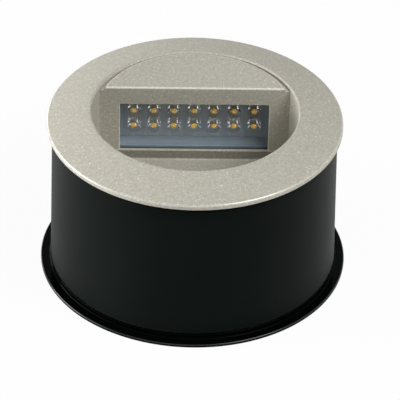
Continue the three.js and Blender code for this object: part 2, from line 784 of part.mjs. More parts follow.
function standingBlock({ xShare, yShare, width, depth, height }) {
  const x = xShare * driverRadius;
  const y = yShare * driverRadius;
  return block(x - width / 2, x + width / 2, y - depth / 2, y + depth / 2,
    componentSeat, componentSeat + height);
}

// A wound bobbin with a flat core round its middle
function transformerGeometry() {
  const { xShare, yShare, width, depth, height } = transformer;
  const x = xShare * driverRadius;
  const y = yShare * driverRadius;
  const bobbin = standingBlock({ ...transformer, width: width - 2 * transformerCoreInset });
  const coreLow = componentSeat + (height - transformerCore) / 2;
  const coreHalfDepth = depth / 2 - transformerCoreInset;
  const core = block(x - width / 2, x + width / 2, y - coreHalfDepth, y + coreHalfDepth,
    coreLow, coreLow + transformerCore);
  return joined(bobbin, core);
}

function capacitorGeometry() {
  const { xShare, yShare, radius, height, rounding } = smoothingCapacitor;
  return turned([
    [0, componentSeat],
    [radius, componentSeat],
    ...arc(radius - rounding, componentSeat + height - rounding, rounding, 0, 90, roundingSteps),
    [0, componentSeat + height],
  ], smallSteps).translate(xShare * driverRadius, yShare * driverRadius, 0);
}

// A terminal block with a wire hole in its front and a screw hole in its top for each way
function terminalBlockGeometry() {
  const { xShare, yShare, width, depth, height } = terminalBlock;
  const cutters = [];
  const top = componentSeat + height;
  const y = yShare * driverRadius;
  const front = y - depth / 2;
  for (let way = 0; way < terminalWays; way += 1) {
    const wayX = xShare * driverRadius + (way - (terminalWays - 1) / 2) * (width / terminalWays);
    cutters.push(hole(wayX, y, terminalScrewHole, top - terminalHoleDepth, top + cutOverrun, tinySteps));
    cutters.push(disc(terminalWireHole, -cutOverrun, terminalHoleDepth, tinySteps).rotateX(-Math.PI / 2)
      .translate(wayX, front, componentSeat + terminalHoleLift));
  }
  return without(standingBlock(terminalBlock), ...cutters);
}

addPiece('transformer', transformerGeometry(), copperWinding, luminaire);
addPiece('smoothing_capacitor', capacitorGeometry(), capacitorSleeve, luminaire);
addPiece('film_capacitor', standingBlock(filmCapacitor), yellowCase, luminaire);
addPiece('bridge_rectifier', standingBlock(bridgeRectifier), greyPlastic, luminaire);
addPiece('terminal_block', terminalBlockGeometry(), whitePlastic, luminaire);

// The gland's body: a hexagon against the can, a thread up through its floor and a socket for the seal
function glandBodyGeometry() {
  const top = canFloorTop + glandInside;
  const bore = glandThread - glandWall;
  const socketBottom = glandHexBottom - glandSocketDepth - glandSocketStep;
  const tube = turned([
    [bore, glandHexBottom],
    [glandSocketBore, glandHexBottom - glandSocketStep],
    [glandSocketBore, socketBottom],
    [glandThread, socketBottom],
    [glandThread, top],
    [bore, top],
  ], mediumSteps);
  const hexagon = ring(glandSocketBore, glandThread + glandHexReach, glandHexBottom, glandShoulder, hexSteps);
  return joined(tube, hexagon);
}

function glandNutGeometry() {
  const top = glandNutBottom + glandNutHeight;
  const outer = glandThread + glandNutReach;
  const bore = glandSealBore + glandNutRoom;
  return turned([
    [bore, glandNutBottom],
    [outer - glandNutChamfer, glandNutBottom],
    [outer, glandNutBottom + glandNutChamfer],
    [outer, top],
    [glandThread + seatGap, top],
    [glandThread + seatGap, glandNutBottom + glandNutFloor],
    [bore, glandNutBottom + glandNutFloor],
  ], smallSteps);
}

function locknutGeometry() {
  const bottom = canFloorTop + seatGap;
  const top = bottom + locknutHeight;
  const bore = hole(0, 0, glandThread + seatGap, bottom - cutOverrun, top + cutOverrun, mediumSteps);
  return without(disc(locknutRadius, bottom, top, hexSteps), bore);
}

addPiece('gland_body', glandBodyGeometry(), nickelBrass, luminaire);
addPiece('gland_nut', glandNutGeometry(), nickelBrass, luminaire);
addPiece('gland_seal', ring(glandSealBore, glandSocketBore - seatGap, glandSealBottom,
  glandSealBottom + glandSealLength, mediumSteps), greyRubber, luminaire);
addPiece('gland_locknut', locknutGeometry(), nickelBrass, luminaire);

// A leaf spring seen from the side, as [radius, height] pairs: a flat plate, an outward bow and a turned-in tip
function springGeometry() {
  const plateRadius = canRadius + seatGap + springThickness / 2;
  const crestRadius = sleeveBore - seatGap - springThickness / 2;
  const plateEnd = springScrewZ - springPlateHalf;
  const bow = new THREE.CatmullRomCurve3([
    new THREE.Vector3(plateRadius, 0, plateEnd),
    new THREE.Vector3((plateRadius + crestRadius) / 2, 0, (plateEnd + springCrestZ) / 2),
    new THREE.Vector3(crestRadius, 0, springCrestZ),
    new THREE.Vector3(crestRadius - springTipInset, 0, springTipZ),
  ]).getPoints(springSteps);
  const line = [new THREE.Vector3(plateRadius, 0, springScrewZ + springPlateHalf), ...bow];
  const outside = [];
  const inside = [];
  line.forEach((point, index) => {
    const before = line[Math.max(index - 1, 0)];
    const after = line[Math.min(index + 1, line.length - 1)];
    const along = after.clone().sub(before).normalize();
    outside.push([point.x - along.z * (springThickness / 2), point.z + along.x * (springThickness / 2)]);
    inside.push([point.x + along.z * (springThickness / 2), point.z - along.x * (springThickness / 2)]);
  });
  const section = [...outside, ...inside.reverse()];
  const strip = raised(section, -springWidth / 2, springWidth / 2).rotateX(Math.PI / 2);
  const boreRadius = springScrew.shank + screwClearance;
  const bore = disc(boreRadius, canRadius - cutOverrun, plateRadius + cutOverrun, smallSteps)
    .rotateY(Math.PI / 2).translate(0, 0, springScrewZ);
  return without(strip, bore);
}

springAzimuths.forEach((azimuth, index) => {
  const turn = THREE.MathUtils.degToRad(azimuth);
  const spring = addPiece(`leaf_spring_${index + 1}`, springGeometry(), springSteel, luminaire);
  spring.rotation.z = turn;
  const screwBody = screwGeometry(springScrew).rotateY(-Math.PI / 2).rotateZ(turn);
  const screw = addPiece(`spring_screw_${index + 1}`, screwBody, zincSteel, luminaire);
  const [x, y] = polar(canRadius + seatGap + springThickness + seatGap, azimuth);
  screw.position.set(x, y, springScrewZ);
});

export default spotlight;
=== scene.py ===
import math

import bmesh
import bpy
import numpy as np
from mathutils import Euler, Matrix, Vector


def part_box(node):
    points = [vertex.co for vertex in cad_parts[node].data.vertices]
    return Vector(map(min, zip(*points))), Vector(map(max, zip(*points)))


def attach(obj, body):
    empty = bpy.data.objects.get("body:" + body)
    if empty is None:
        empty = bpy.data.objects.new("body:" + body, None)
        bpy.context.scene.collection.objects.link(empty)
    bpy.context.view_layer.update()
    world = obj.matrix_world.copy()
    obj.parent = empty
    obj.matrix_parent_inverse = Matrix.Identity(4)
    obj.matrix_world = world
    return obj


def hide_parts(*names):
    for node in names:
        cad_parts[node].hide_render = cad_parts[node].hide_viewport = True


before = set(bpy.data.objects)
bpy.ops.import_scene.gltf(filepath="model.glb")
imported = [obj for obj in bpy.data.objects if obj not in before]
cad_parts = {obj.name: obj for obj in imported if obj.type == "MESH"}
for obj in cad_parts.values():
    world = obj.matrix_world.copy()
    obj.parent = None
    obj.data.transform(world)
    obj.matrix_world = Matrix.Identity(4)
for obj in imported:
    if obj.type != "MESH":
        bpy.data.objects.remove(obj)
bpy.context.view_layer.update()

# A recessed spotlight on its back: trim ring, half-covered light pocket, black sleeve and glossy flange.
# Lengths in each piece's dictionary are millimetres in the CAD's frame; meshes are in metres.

mm = 0.001
axisSteps = 144  # steps round the turned pieces
wideSteps = 180  # steps round the widest ones
rimStart, rimSteps = 4, 4  # an upright frame's column where its hole's rim starts, and the steps round it
roundRows, ringRows, openRows = (True, False), (True, True), (False, False)  # whether rows and columns close
scene = bpy.context.scene


# Shapes


# Vectors divided by their lengths
def unit(vectors):
    return vectors / np.linalg.norm(vectors, axis=-1, keepdims=True)


# Points of a polyline with corners (x, y, radius): each corner becomes an arc that touches both its sides
def roundedOutline(corners, steps=6):
    table = np.array(corners, float)
    here, radius = table[:, :2], table[:, 2:]
    before = unit(np.roll(here, 1, 0) - here)
    after = unit(np.roll(here, -1, 0) - here)
    half = np.arccos(np.clip((before * after).sum(1), -1, 1))[:, None] / 2
    middle = unit(before + after)
    start = before / np.tan(half) - middle / np.sin(half)
    end = after / np.tan(half) - middle / np.sin(half)
    first = np.arctan2(start[:, 1], start[:, 0])
    sweep = np.arctan2(end[:, 1], end[:, 0]) - first
    sweep = (sweep + np.pi) % (2 * np.pi) - np.pi
    angles = first[:, None] + sweep[:, None] * np.linspace(0, 1, steps + 1)
    circle = np.stack([np.cos(angles), np.sin(angles)], -1)
    centre = here + middle * radius / np.sin(half)
    return (centre[:, None] + radius[:, None] * circle).reshape(-1, 2)


# Points on a circle's arc from one angle to another, in degrees
def arcPoints(centreX, centreY, radius, start, end, steps=8):
    angles = np.radians(np.linspace(start, end, steps + 1))
    return np.stack([centreX + radius * np.cos(angles), centreY + radius * np.sin(angles)], -1)


# A right-angled corner at (x, y) rounded by an arc between two angles, in degrees
def roundCorner(x, y, radius, start, end, steps):
    middle = math.radians((start + end) / 2)
    x, y = x - radius * np.sign(math.cos(middle)), y - radius * np.sign(math.sin(middle))
    return arcPoints(x, y, radius, start, end, steps)


# A point at a distance from the axis, by azimuth in degrees and height
def polar(radius, azimuth, height=0.0):
    turn = math.radians(azimuth)
    return np.array([radius * math.cos(turn), radius * math.sin(turn), height])


# Points by radii, angles and heights, spread to one shape
def around(radii, angles, heights):
    return np.stack(np.broadcast_arrays(radii * np.cos(angles), radii * np.sin(angles), heights), -1)


# Extra points near both ends of a polyline's long stretches, so that smooth shading leaves them flat
def supported(points, gap=0.25, closed=False):
    points = np.asarray(points, float)
    ahead = np.roll(points, -1, 0)
    step = ahead - points
    length = np.linalg.norm(step, axis=1)
    stretch = length > 5 * gap
    stretch[-1] &= closed
    share = (gap / np.maximum(length, 1e-9))[:, None]
    table = np.stack([points, points + step * share, ahead - step * share], 1)
    return table[np.stack([np.ones_like(stretch), stretch, stretch], 1)]


# Grid of a profile of (radius, height) points turned round the z axis: (r cos a, r sin a, z)
def turned(profile, steps=axisSteps):
    profile = np.asarray(profile, float)
    profile = supported(profile, closed=min(profile[0, 0], profile[-1, 0]) > 0.01)
    return around(profile[:, 0], np.radians(np.arange(steps) * 360 / steps)[:, None], profile[:, 1])


# Outline of a rectangle with rounded corners, anticlockwise
def rectangle(x0, x1, y0, y1, radius=0.0, steps=4):
    return roundedOutline([(x0, y0, radius), (x1, y0, radius), (x1, y1, radius), (x0, y1, radius)], steps)


# A grid with each end closed on the middle of its last points there
def closeEnds(grid):
    ends = grid[[0, -1]]
    middles = np.broadcast_to(ends.mean(1, keepdims=True), ends.shape)
    return np.concatenate([middles[:1], grid, middles[1:]])


# The same rectangle as a function of how far it is drawn in
def shrinking(x0, x1, y0, y1, radius, steps=4):
    return lambda inset: rectangle(x0 + inset, x1 - inset, y0 + inset, y1 - inset,
                                   max(radius - inset, 0.02), steps)


# The part of a circle behind a chord, as a function of how far it is drawn in
def halfDisc(radius, shift, chord, steps=90):
    def outline(inset):
        start = math.degrees(math.asin((chord + inset - shift) / (radius - inset)))
        curve = arcPoints(0, shift, radius - inset, start, 180 - start, steps)
        along = curve[0, 0] * np.array([-0.99, -0.9, -0.5, 0, 0.5, 0.9, 0.99])
        return np.vstack([curve, np.column_stack([along, np.full(len(along), chord + inset)])])
    return outline


# Grid of an outline pulled from low to high, its rims rounded by insets that follow a quarter circle; both
# ends close on the outline's middle
def slab(outline, low, high, rounding, foot=None, steps=4, gap=0.25, margin=0.3):
    foot = rounding if foot is None else foot
    bend = np.radians(np.linspace(0, 90, steps + 1))
    gap = min(gap, (high - low - foot - rounding) / 4)
    insets = [foot + margin, *(foot * (1 - np.sin(bend))), 0, 0, *(rounding * (1 - np.cos(bend))),
              rounding + margin]
    heights = [low, *(low + foot * (1 - np.cos(bend))), low + foot + gap, high - rounding - gap,
               *(high - rounding * (1 - np.sin(bend))), high]
    rings = [outline(inset) for inset in insets]
    middle = np.broadcast_to(rings[0].mean(0), rings[0].shape)
    return np.stack([np.column_stack([ring, np.full(len(ring), height)])
                     for ring, height in zip([middle, *rings, middle], [low, *heights, high])], 1)


# Grid of an upright frame facing -y, with (half width, low, high) outside and inside: its section runs from
# the outer edge over the front, round the hole's rounded rim and over the back
def uprightFrame(front, back, outer, inner, rounding, corner=0.5, outerCorner=0.05, gap=0.3):
    def ring(size, grow, radius, y):
        half, low, high = size
        line = rectangle(-half - grow, half + grow, low - grow, high + grow, radius)
        return np.column_stack([line[:, 0], np.full(len(line), y), line[:, 1]])
    bend = np.radians(np.linspace(0, 90, rimSteps + 1))
    rim = [ring(inner, rounding * (1 - np.sin(b)), corner + rounding * (1 - np.sin(b)),
                front + rounding * (1 - np.cos(b))) for b in bend]
    return np.stack([
        ring(outer, 0, outerCorner, back), ring(outer, 0, outerCorner, front),
        ring(outer, -gap, outerCorner, front), ring(inner, rounding + gap, corner + rounding, front), *rim,
        ring(inner, 0, corner, back), ring(inner, gap, corner, back), ring(outer, -gap, outerCorner, back),
    ], 1)


# A closed grid in two parts: the columns from first to last, and all the others with those two
def splitGrid(grid, first, last):
    return grid[:, first:last + 1], np.roll(grid, -last, 1)[:, :grid.shape[1] - (last - first) + 1]


# A piece from surfaces, each a grid of points in millimetres where four neighbours make a face, with the
# ways in which it closes and the number of its finish
def makePiece(name, surfaces, finishNames, node=None, body="luminaire", sharp=32):
    vertices, quads, kinds = [], [], []
    count = 0
    for points, closes, kind in surfaces:
        rows, columns = points.shape[:2]
        index = np.arange(rows * columns).reshape(rows, columns) + count
        if closes[0]:
            index = np.vstack([index, index[:1]])
        if closes[1]:
            index = np.hstack([index, index[:, :1]])
        faces = np.stack([index[:-1, :-1], index[1:, :-1], index[1:, 1:], index[:-1, 1:]], -1).reshape(-1, 4)
        vertices.append(points.reshape(-1, 3) * mm)
        quads.append(faces)
        kinds.append(np.full(len(faces), kind))
        count += rows * columns
    mesh = bpy.data.meshes.new(name)
    mesh.from_pydata(np.concatenate(vertices).tolist(), [], np.concatenate(quads).tolist())
    mesh.polygons.foreach_set("material_index", np.concatenate(kinds).astype(np.int32))
    shape = bmesh.new()
    shape.from_mesh(mesh)
    bmesh.ops.remove_doubles(shape, verts=shape.verts, dist=2e-7)
    bmesh.ops.dissolve_degenerate(shape, edges=shape.edges, dist=2e-7)
    bmesh.ops.recalc_face_normals(shape, faces=shape.faces)
    shape.to_mesh(mesh)
    shape.free()
    mesh.shade_smooth()
    mesh.set_sharp_from_angle(angle=math.radians(sharp))
    for finish in finishNames:
        mesh.materials.append(finishes[finish])
    piece = bpy.data.objects.new(name, mesh)
    scene.collection.objects.link(piece)
    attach(piece, body)
    if node:
        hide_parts(node)


# A ring turned from a closed section
def ringPiece(name, section, finish, node, body="luminaire", steps=axisSteps):
    makePiece(name, [(turned(section, steps), ringRows, 0)], [finish], node, body)


# A wide turned piece in two finishes: its columns beyond a radius and above a height have the second one, a
# lit copy of the first that is partly a painted highlight
def edgedPiece(name, profile, radius, height, finishNames, node, body="luminaire"):
    grid = turned(profile, wideSteps)
    edge = np.flatnonzero((grid[0, :, 0] > radius) & (grid[0, :, 2] > height))
    lit, rest = splitGrid(grid, edge[0], edge[-1])
    makePiece(name, [(rest, roundRows, 0), (lit, roundRows, 1)], finishNames, node, body)


# Shared effects as shader groups


# Sets a node's inputs by name or number: a socket is linked, a value is stored
def setInputs(tree, node, inputs):
    for label, value in inputs.items():
        if isinstance(value, bpy.types.NodeSocket):
            tree.links.new(value, node.inputs[label])
        else:
            node.inputs[label].default_value = value


# A node of a kind, whose name lacks the prefix ShaderNode
def addNode(tree, kind, inputs={}, **settings):
    node = tree.nodes.new("ShaderNode" + kind)
    for key, value in settings.items():
        setattr(node, key, value)
    setInputs(tree, node, inputs)
    return node


def addMath(tree, operation, first, second, clamp=False):
    node = addNode(tree, "Math", {0: first, 1: second}, operation=operation, use_clamp=clamp)
    return node.outputs[0]


def addRange(tree, value, low, high, toLow=0.0, toHigh=1.0):
    inputs = {"Value": value, "From Min": low, "From Max": high, "To Min": toLow, "To Max": toHigh}
    return addNode(tree, "MapRange", inputs, clamp=True).outputs["Result"]


# A shader group that reads a vector and the given inputs, each a number or another vector by its first value
def newGroup(name, inputs, outputs):
    group = bpy.data.node_groups.new(name, "ShaderNodeTree")
    group.interface.new_socket("Vector", in_out="INPUT", socket_type="NodeSocketVector")
    for label, value in inputs.items():
        kind = "NodeSocketVector" if isinstance(value, tuple) else "NodeSocketFloat"
        group.interface.new_socket(label, in_out="INPUT", socket_type=kind).default_value = value
    for label in outputs:
        group.interface.new_socket(label, in_out="OUTPUT", socket_type="NodeSocketFloat")
    return group, group.nodes.new("NodeGroupInput").outputs, group.nodes.new("NodeGroupOutput")


# Metallic flakes in paint: a random value in each small cell, kept where it lies above 1 - share
def flakeGroup():
    group, given, result = newGroup("paintFlakes", {"Scale": 1800.0, "Share": 0.15}, ["Mask"])
    cells = addNode(group, "TexVoronoi", {"Vector": given["Vector"], "Scale": given["Scale"]})
    value = addNode(group, "SeparateColor", {0: cells.outputs["Color"]}).outputs[0]
    above = addMath(group, "SUBTRACT", value, addMath(group, "SUBTRACT", 1.0, given["Share"]))
    lit = addMath(group, "DIVIDE", above, given["Share"], clamp=True)
    near = addRange(group, cells.outputs["Distance"], 0.2, 0.55, 1.0, 0.0)  # full in the middle of its cell
    setInputs(group, result, {"Mask": addMath(group, "MULTIPLY", lit, near)})
    return group


# Fine surface texture: a fine noise as height, and its mean with a coarser one as an uneven tone
def textureGroup():
    group, given, result = newGroup("surfaceTexture", {"Scale": 900.0, "Coarse": 60.0}, ["Height", "Tone"])
    fine, coarse = (addNode(group, "TexNoise", {
        "Vector": given["Vector"], "Scale": given[label], "Detail": detail,
    }).outputs["Fac"] for label, detail in (("Scale", 3.0), ("Coarse", 2.0)))
    tone = addMath(group, "MULTIPLY", addMath(group, "ADD", fine, coarse), 0.5)
    setInputs(group, result, {"Height": fine, "Tone": addRange(group, tone, 0.35, 0.65)})
    return group


# Hairlines: noise scaled differently along each axis, kept where it is brightest
def hairlineGroup():
    group, given, result = newGroup("hairlines", {"Stretch": (40.0, 40.0, 2500.0)}, ["Mask"])
    scaled = addNode(group, "VectorMath", {0: given["Vector"], 1: given["Stretch"]}, operation="MULTIPLY")
    noise = addNode(group, "TexNoise", {"Vector": scaled.outputs[0], "Scale": 1.0})
    setInputs(group, result, {"Mask": addRange(group, noise.outputs["Fac"], 0.4, 0.7)})
    return group


groups = {"flakes": flakeGroup(), "texture": textureGroup(), "hairlines": hairlineGroup()}


# Object coordinates, which every pattern reads
def objectPlace(tree):
    return addNode(tree, "TexCoord").outputs["Object"]


def useGroup(tree, key, **values):
    inputs = {"Vector": objectPlace(tree), **values}
    return addNode(tree, "Group", inputs, node_tree=groups[key]).outputs


def newMaterial(name):
    material = bpy.data.materials.new(name)
    material.use_nodes = True
    return material, material.node_tree, material.node_tree.nodes["Principled BSDF"]


def blendColours(tree, factor, first, second):
    node = addNode(tree, "Mix", {"Factor": factor}, data_type="RGBA")
    for number, colour in ((6, first), (7, second)):  # the node's two colour inputs
        setInputs(tree, node, {number: (*colour, 1.0) if isinstance(colour, tuple) else colour})
    return node.outputs[2]


def addBump(tree, height, strength, distance):
    inputs = {"Height": height, "Strength": strength, "Distance": distance}
    return addNode(tree, "Bump", inputs).outputs["Normal"]


# The largest of the Light Path's masks with the given names
def rayMask(tree, *labels):
    masks = addNode(tree, "LightPath").outputs
    largest = masks[labels[0]]
    for label in labels[1:]:
        largest = addMath(tree, "MAXIMUM", largest, masks[label])
    return largest


# Two shaders mixed by a factor on the surface of a material or of the world
def mixShaders(tree, factor, first, second, target):
    mixed = addNode(tree, "MixShader", {0: factor, 1: first.outputs[0], 2: second.outputs[0]})
    setInputs(tree, target, {"Surface": mixed.outputs[0]})


# A plain moulded or painted finish: two close colours by tone, roughness between two values, and a fine bump
def surfaceMaterial(name, dark, light, roughness, specular=0.5, grain=900.0, coarse=60.0, bump=0.15,
                    depth=0.00005, glow=0.0, sheen=0.0):
    material, tree, shader = newMaterial(name)
    texture = useGroup(tree, "texture", Scale=grain, Coarse=coarse)
    colour = blendColours(tree, texture["Tone"], dark, light)
    setInputs(tree, shader, {
        "Base Color": colour, "Roughness": addRange(tree, texture["Tone"], 0.0, 1.0, *roughness),
        "Specular IOR Level": specular, "Sheen Weight": sheen, "Sheen Roughness": 0.4,
        "Normal": addBump(tree, texture["Height"], bump, depth),
    })
    # a glow makes the surface emit light: painted light where the part is no lamp
    if glow:
        setInputs(tree, shader, {"Emission Color": colour, "Emission Strength": glow})
    return material


champagne = {
    "dark": (0.412, 0.394, 0.336), "light": (0.535, 0.515, 0.446), "flake": (0.95, 0.94, 0.87),
    "fineScale": 2300.0, "fineShare": 0.30, "fineStrength": 0.62, "largeScale": 1400.0, "largeShare": 0.06,
    "largeStrength": 0.75, "grain": 1700.0, "coarse": 900.0, "bump": 0.25, "depth": 0.00006,
    "roughness": (0.52, 0.62), "metallic": 0.12, "specular": 0.2,
}


# Champagne-silver paint: an even base, dense fine flakes, a few larger ones and a fine powder texture
def paintMaterial(name, **changes):
    c = {**champagne, **changes}
    material, tree, shader = newMaterial(name)
    texture = useGroup(tree, "texture", Scale=c["grain"], Coarse=c["coarse"])
    masks = []
    for size in ("fine", "large"):
        flakes = useGroup(tree, "flakes", Scale=c[size + "Scale"], Share=c[size + "Share"])
        masks.append(addMath(tree, "MULTIPLY", flakes["Mask"], c[size + "Strength"]))
    even = blendColours(tree, texture["Tone"], c["dark"], c["light"])
    setInputs(tree, shader, {
        "Base Color": blendColours(tree, addMath(tree, "MAXIMUM", *masks), even, c["flake"]),
        "Roughness": addRange(tree, texture["Tone"], 0.0, 1.0, *c["roughness"]),
        "Metallic": c["metallic"], "Specular IOR Level": c["specular"],
        "Normal": addBump(tree, texture["Height"], c["bump"], c["depth"]),
    })
    return material


# Clear material: refracts for the camera and lets the lamps' light straight through, dimmed by a shade
def clearMaterial(name, tint, roughness, shade):
    material, tree, shader = newMaterial(name)
    texture = useGroup(tree, "texture", Scale=300.0, Coarse=40.0)
    setInputs(tree, shader, {
        "Base Color": (*tint, 1.0), "Roughness": addRange(tree, texture["Tone"], 0.0, 1.0, *roughness),
        "Transmission Weight": 1.0, "IOR": 1.5,
    })
    through = addNode(tree, "BsdfTransparent", {"Color": (shade, shade, shade, 1.0)})
    passing = rayMask(tree, "Is Shadow Ray", "Is Diffuse Ray")
    mixShaders(tree, passing, shader, through, tree.nodes["Material Output"])
    return material


# Copper winding: bands across the bobbin where a wave in height is lightest
def windingMaterial(name, dark, light):
    material, tree, shader = newMaterial(name)
    inputs = {"Vector": objectPlace(tree), "Scale": 700.0, "Distortion": 0.6}
    wave = addNode(tree, "TexWave", inputs, bands_direction="Z").outputs["Fac"]
    setInputs(tree, shader, {
        "Base Color": blendColours(tree, wave, dark, light), "Metallic": 0.7, "Roughness": 0.35,
        "Normal": addBump(tree, wave, 0.5, 0.0001),
    })
    return material


# Machined or rolled metal: hairlines along one axis lighten it and vary its roughness
def metalMaterial(name, dark, light, stretch, roughness=(0.28, 0.42)):
    material, tree, shader = newMaterial(name)
    lines = useGroup(tree, "hairlines", Stretch=stretch)["Mask"]
    setInputs(tree, shader, {
        "Base Color": blendColours(tree, lines, dark, light), "Metallic": 1.0,
        "Roughness": addRange(tree, lines, 0.0, 1.0, *roughness),
        "Normal": addBump(tree, lines, 0.12, 0.00002),
    })
    return material


# Solder mask with copper tracks: a brick pattern's joints show as lighter lines under the mask
def boardMaterial(name, mask, track):
    material, tree, shader = newMaterial(name)
    bricks = addNode(tree, "TexBrick", {
        "Vector": objectPlace(tree), "Scale": 110.0, "Mortar Size": 0.025, "Mortar": (*track, 1.0),
        "Color1": (*mask, 1.0), "Color2": (*(0.88 * np.array(mask)).tolist(), 1.0),
    }).outputs
    texture = useGroup(tree, "texture", Scale=500.0, Coarse=50.0)
    dust = addMath(tree, "MULTIPLY", texture["Tone"], 0.12)
    setInputs(tree, shader, {
        "Base Color": blendColours(tree, dust, bricks["Color"], (0.9, 0.95, 1.0)), "Roughness": 0.32,
        "Normal": addBump(tree, bricks["Fac"], 0.2, 0.00003),
    })
    return material


finishes = {material.name: material for material in (
    paintMaterial("champagnePaint"),
    # Lighter copy of the paint for the hood's and the window's rounded rims: its lighter colour is a painted
    # highlight, its higher specular a glossier edge
    paintMaterial("champagneEdgePaintedHighlight", dark=(0.60, 0.58, 0.51), light=(0.74, 0.72, 0.65), specular=0.6),
    # Darker copy of the paint for the sill's leaning face under the window: painted shade
    paintMaterial("champagnePaintedShade", dark=(0.255, 0.243, 0.207), light=(0.331, 0.318, 0.275),
        flake=(0.61, 0.60, 0.55)),
    # Glossier copy of the paint for the trim ring's outer rounding: the lamps make a highlight on it, and its
    # slightly lighter colour is a painted highlight
    paintMaterial("champagneRimPaintedHighlight", dark=(0.45, 0.43, 0.37), light=(0.57, 0.55, 0.48), roughness=(0.26, 0.32),
        specular=0.9),
    surfaceMaterial("satinBlack", (0.0014, 0.0034, 0.0027), (0.0026, 0.0052, 0.0043), (0.50, 0.57),
        specular=0.02, grain=1500.0, coarse=35.0, bump=0.05, sheen=0.15),
    surfaceMaterial("glossBlack", (0.0006, 0.0014, 0.0011), (0.0010, 0.0020, 0.0017), (0.06, 0.10),
        specular=0.015, grain=500.0, coarse=30.0, bump=0.02),
    # Copy of the gloss black for the flange's rounded rim: more specular, so the lamps draw a line on it, and
    # a little lighter, a painted highlight
    surfaceMaterial("glossBlackEdgePaintedHighlight", (0.0020, 0.0030, 0.0027), (0.0032, 0.0044, 0.0040), (0.10, 0.16),
        specular=0.30, grain=500.0, coarse=30.0, bump=0.02),
    surfaceMaterial("blackRubber", (0.008, 0.008, 0.008), (0.022, 0.022, 0.021), (0.75, 0.9), specular=0.2,
        grain=2200.0, coarse=200.0, bump=0.5, depth=0.0001),
    surfaceMaterial("greyRubber", (0.035, 0.037, 0.038), (0.06, 0.063, 0.065), (0.7, 0.85), specular=0.3,
        grain=1200.0, bump=0.25),
    clearMaterial("clearGlass", (0.98, 0.99, 0.995), (0.0, 0.015), 0.97),
    clearMaterial("clearResin", (0.99, 0.985, 0.97), (0.0, 0.03), 0.74),
    # The phosphor glows a little though the diode is unlit: painted light
    surfaceMaterial("yellowPhosphor", (0.95, 0.50, 0.02), (1.0, 0.66, 0.06), (0.5, 0.6), grain=3000.0,
        glow=0.22),
    metalMaterial("silverLeadFrame", (0.55, 0.54, 0.50), (0.80, 0.79, 0.75), (900.0, 60.0, 900.0)),
    boardMaterial("slateBoard", (0.43, 0.52, 0.60), (0.48, 0.57, 0.65)),
    surfaceMaterial("slateChamber", (0.285, 0.355, 0.420), (0.330, 0.402, 0.470), (0.35, 0.5), grain=700.0,
        coarse=70.0, bump=0.08),
    boardMaterial("greenBoard", (0.012, 0.09, 0.035), (0.05, 0.2, 0.07)),
    surfaceMaterial("padGrey", (0.22, 0.25, 0.27), (0.30, 0.33, 0.35), (0.8, 0.95), grain=700.0, bump=0.3),
    metalMaterial("zincSteel", (0.50, 0.51, 0.53), (0.68, 0.69, 0.70), (500.0, 500.0, 60.0)),
    metalMaterial("springSteel", (0.42, 0.43, 0.45), (0.62, 0.63, 0.65), (2200.0, 2200.0, 30.0),
        (0.18, 0.32)),
    metalMaterial("nickelBrass", (0.52, 0.49, 0.42), (0.68, 0.65, 0.57), (60.0, 60.0, 1800.0), (0.2, 0.34)),
    surfaceMaterial("redSleeving", (0.30, 0.012, 0.01), (0.42, 0.02, 0.015), (0.4, 0.5)),
    surfaceMaterial("blackSleeving", (0.008, 0.008, 0.008), (0.014, 0.014, 0.014), (0.4, 0.5)),
    windingMaterial("copperWinding", (0.16, 0.05, 0.02), (0.62, 0.27, 0.11)),
    surfaceMaterial("capacitorSleeve", (0.008, 0.02, 0.06), (0.012, 0.03, 0.09), (0.3, 0.4)),
    surfaceMaterial("yellowCase", (0.45, 0.28, 0.02), (0.55, 0.36, 0.035), (0.35, 0.5)),
    surfaceMaterial("greyPlastic", (0.02, 0.02, 0.022), (0.035, 0.035, 0.038), (0.5, 0.65)),
    surfaceMaterial("whitePlastic", (0.58, 0.59, 0.57), (0.66, 0.67, 0.65), (0.45, 0.6)),
)}
print("finishes ready:", len(finishes))


# Base flange, cable grommet, sleeve and gasket ring

base = {
    "flangeRadius": 57.5, "rim": 1.4, "rimRounding": 0.5, "fillet": 0.5, "collarRadius": 53.9,
    "collarTop": 3.45, "collarRounding": 0.3, "spigotRadius": 50.5, "spigotInner": 48.3, "spigotTop": 10.95,
    "spigotRounding": 0.5, "floor": 2.2, "floorFillet": 1.0, "holeRadius": 6.5, "holeRounding": 0.3,
}


# The flange's section: hole, underside, rounded rim, fillet up to the collar, spigot and floor
def baseFlange():
    b = base
    profile = np.vstack([
        roundCorner(b["holeRadius"], 0, b["holeRounding"], 180, 270, 3),
        roundCorner(b["flangeRadius"], 0, b["rimRounding"], -90, 0, 5),
        roundCorner(b["flangeRadius"], b["rim"], b["rimRounding"], 0, 90, 6),
        roundCorner(b["collarRadius"], b["rim"], b["fillet"], -90, -180, 8),
        roundCorner(b["collarRadius"], b["collarTop"], b["collarRounding"], 0, 90, 4),
        [(b["spigotRadius"], b["collarTop"])],
        roundCorner(b["spigotRadius"], b["spigotTop"], b["spigotRounding"], 0, 90, 4),
        roundCorner(b["spigotInner"], b["spigotTop"], b["spigotRounding"], 90, 180, 4),
        roundCorner(b["spigotInner"], b["floor"], b["floorFillet"], 0, -90, 5),
        [(b["holeRadius"], b["floor"])],
    ])
    # the rim's upper rounding gets the lighter, more specular black, partly a painted highlight
    rim, low = b["flangeRadius"] - b["rimRounding"] + 0.05, b["rim"] - b["rimRounding"] - 0.01
    edgedPiece("baseFlange", profile, rim, low, ["glossBlack", "glossBlackEdgePaintedHighlight"],
               "base_flange", "mounting_box")


grommet = {
    "bore": 4.0, "boreRounding": 0.4, "neck": 6.2, "neckRounding": 0.3, "step": 2.5, "stepRounding": 0.2,
    "radius": 8.5, "rounding": 0.5, "bottom": 0.3, "top": 3.7,
}


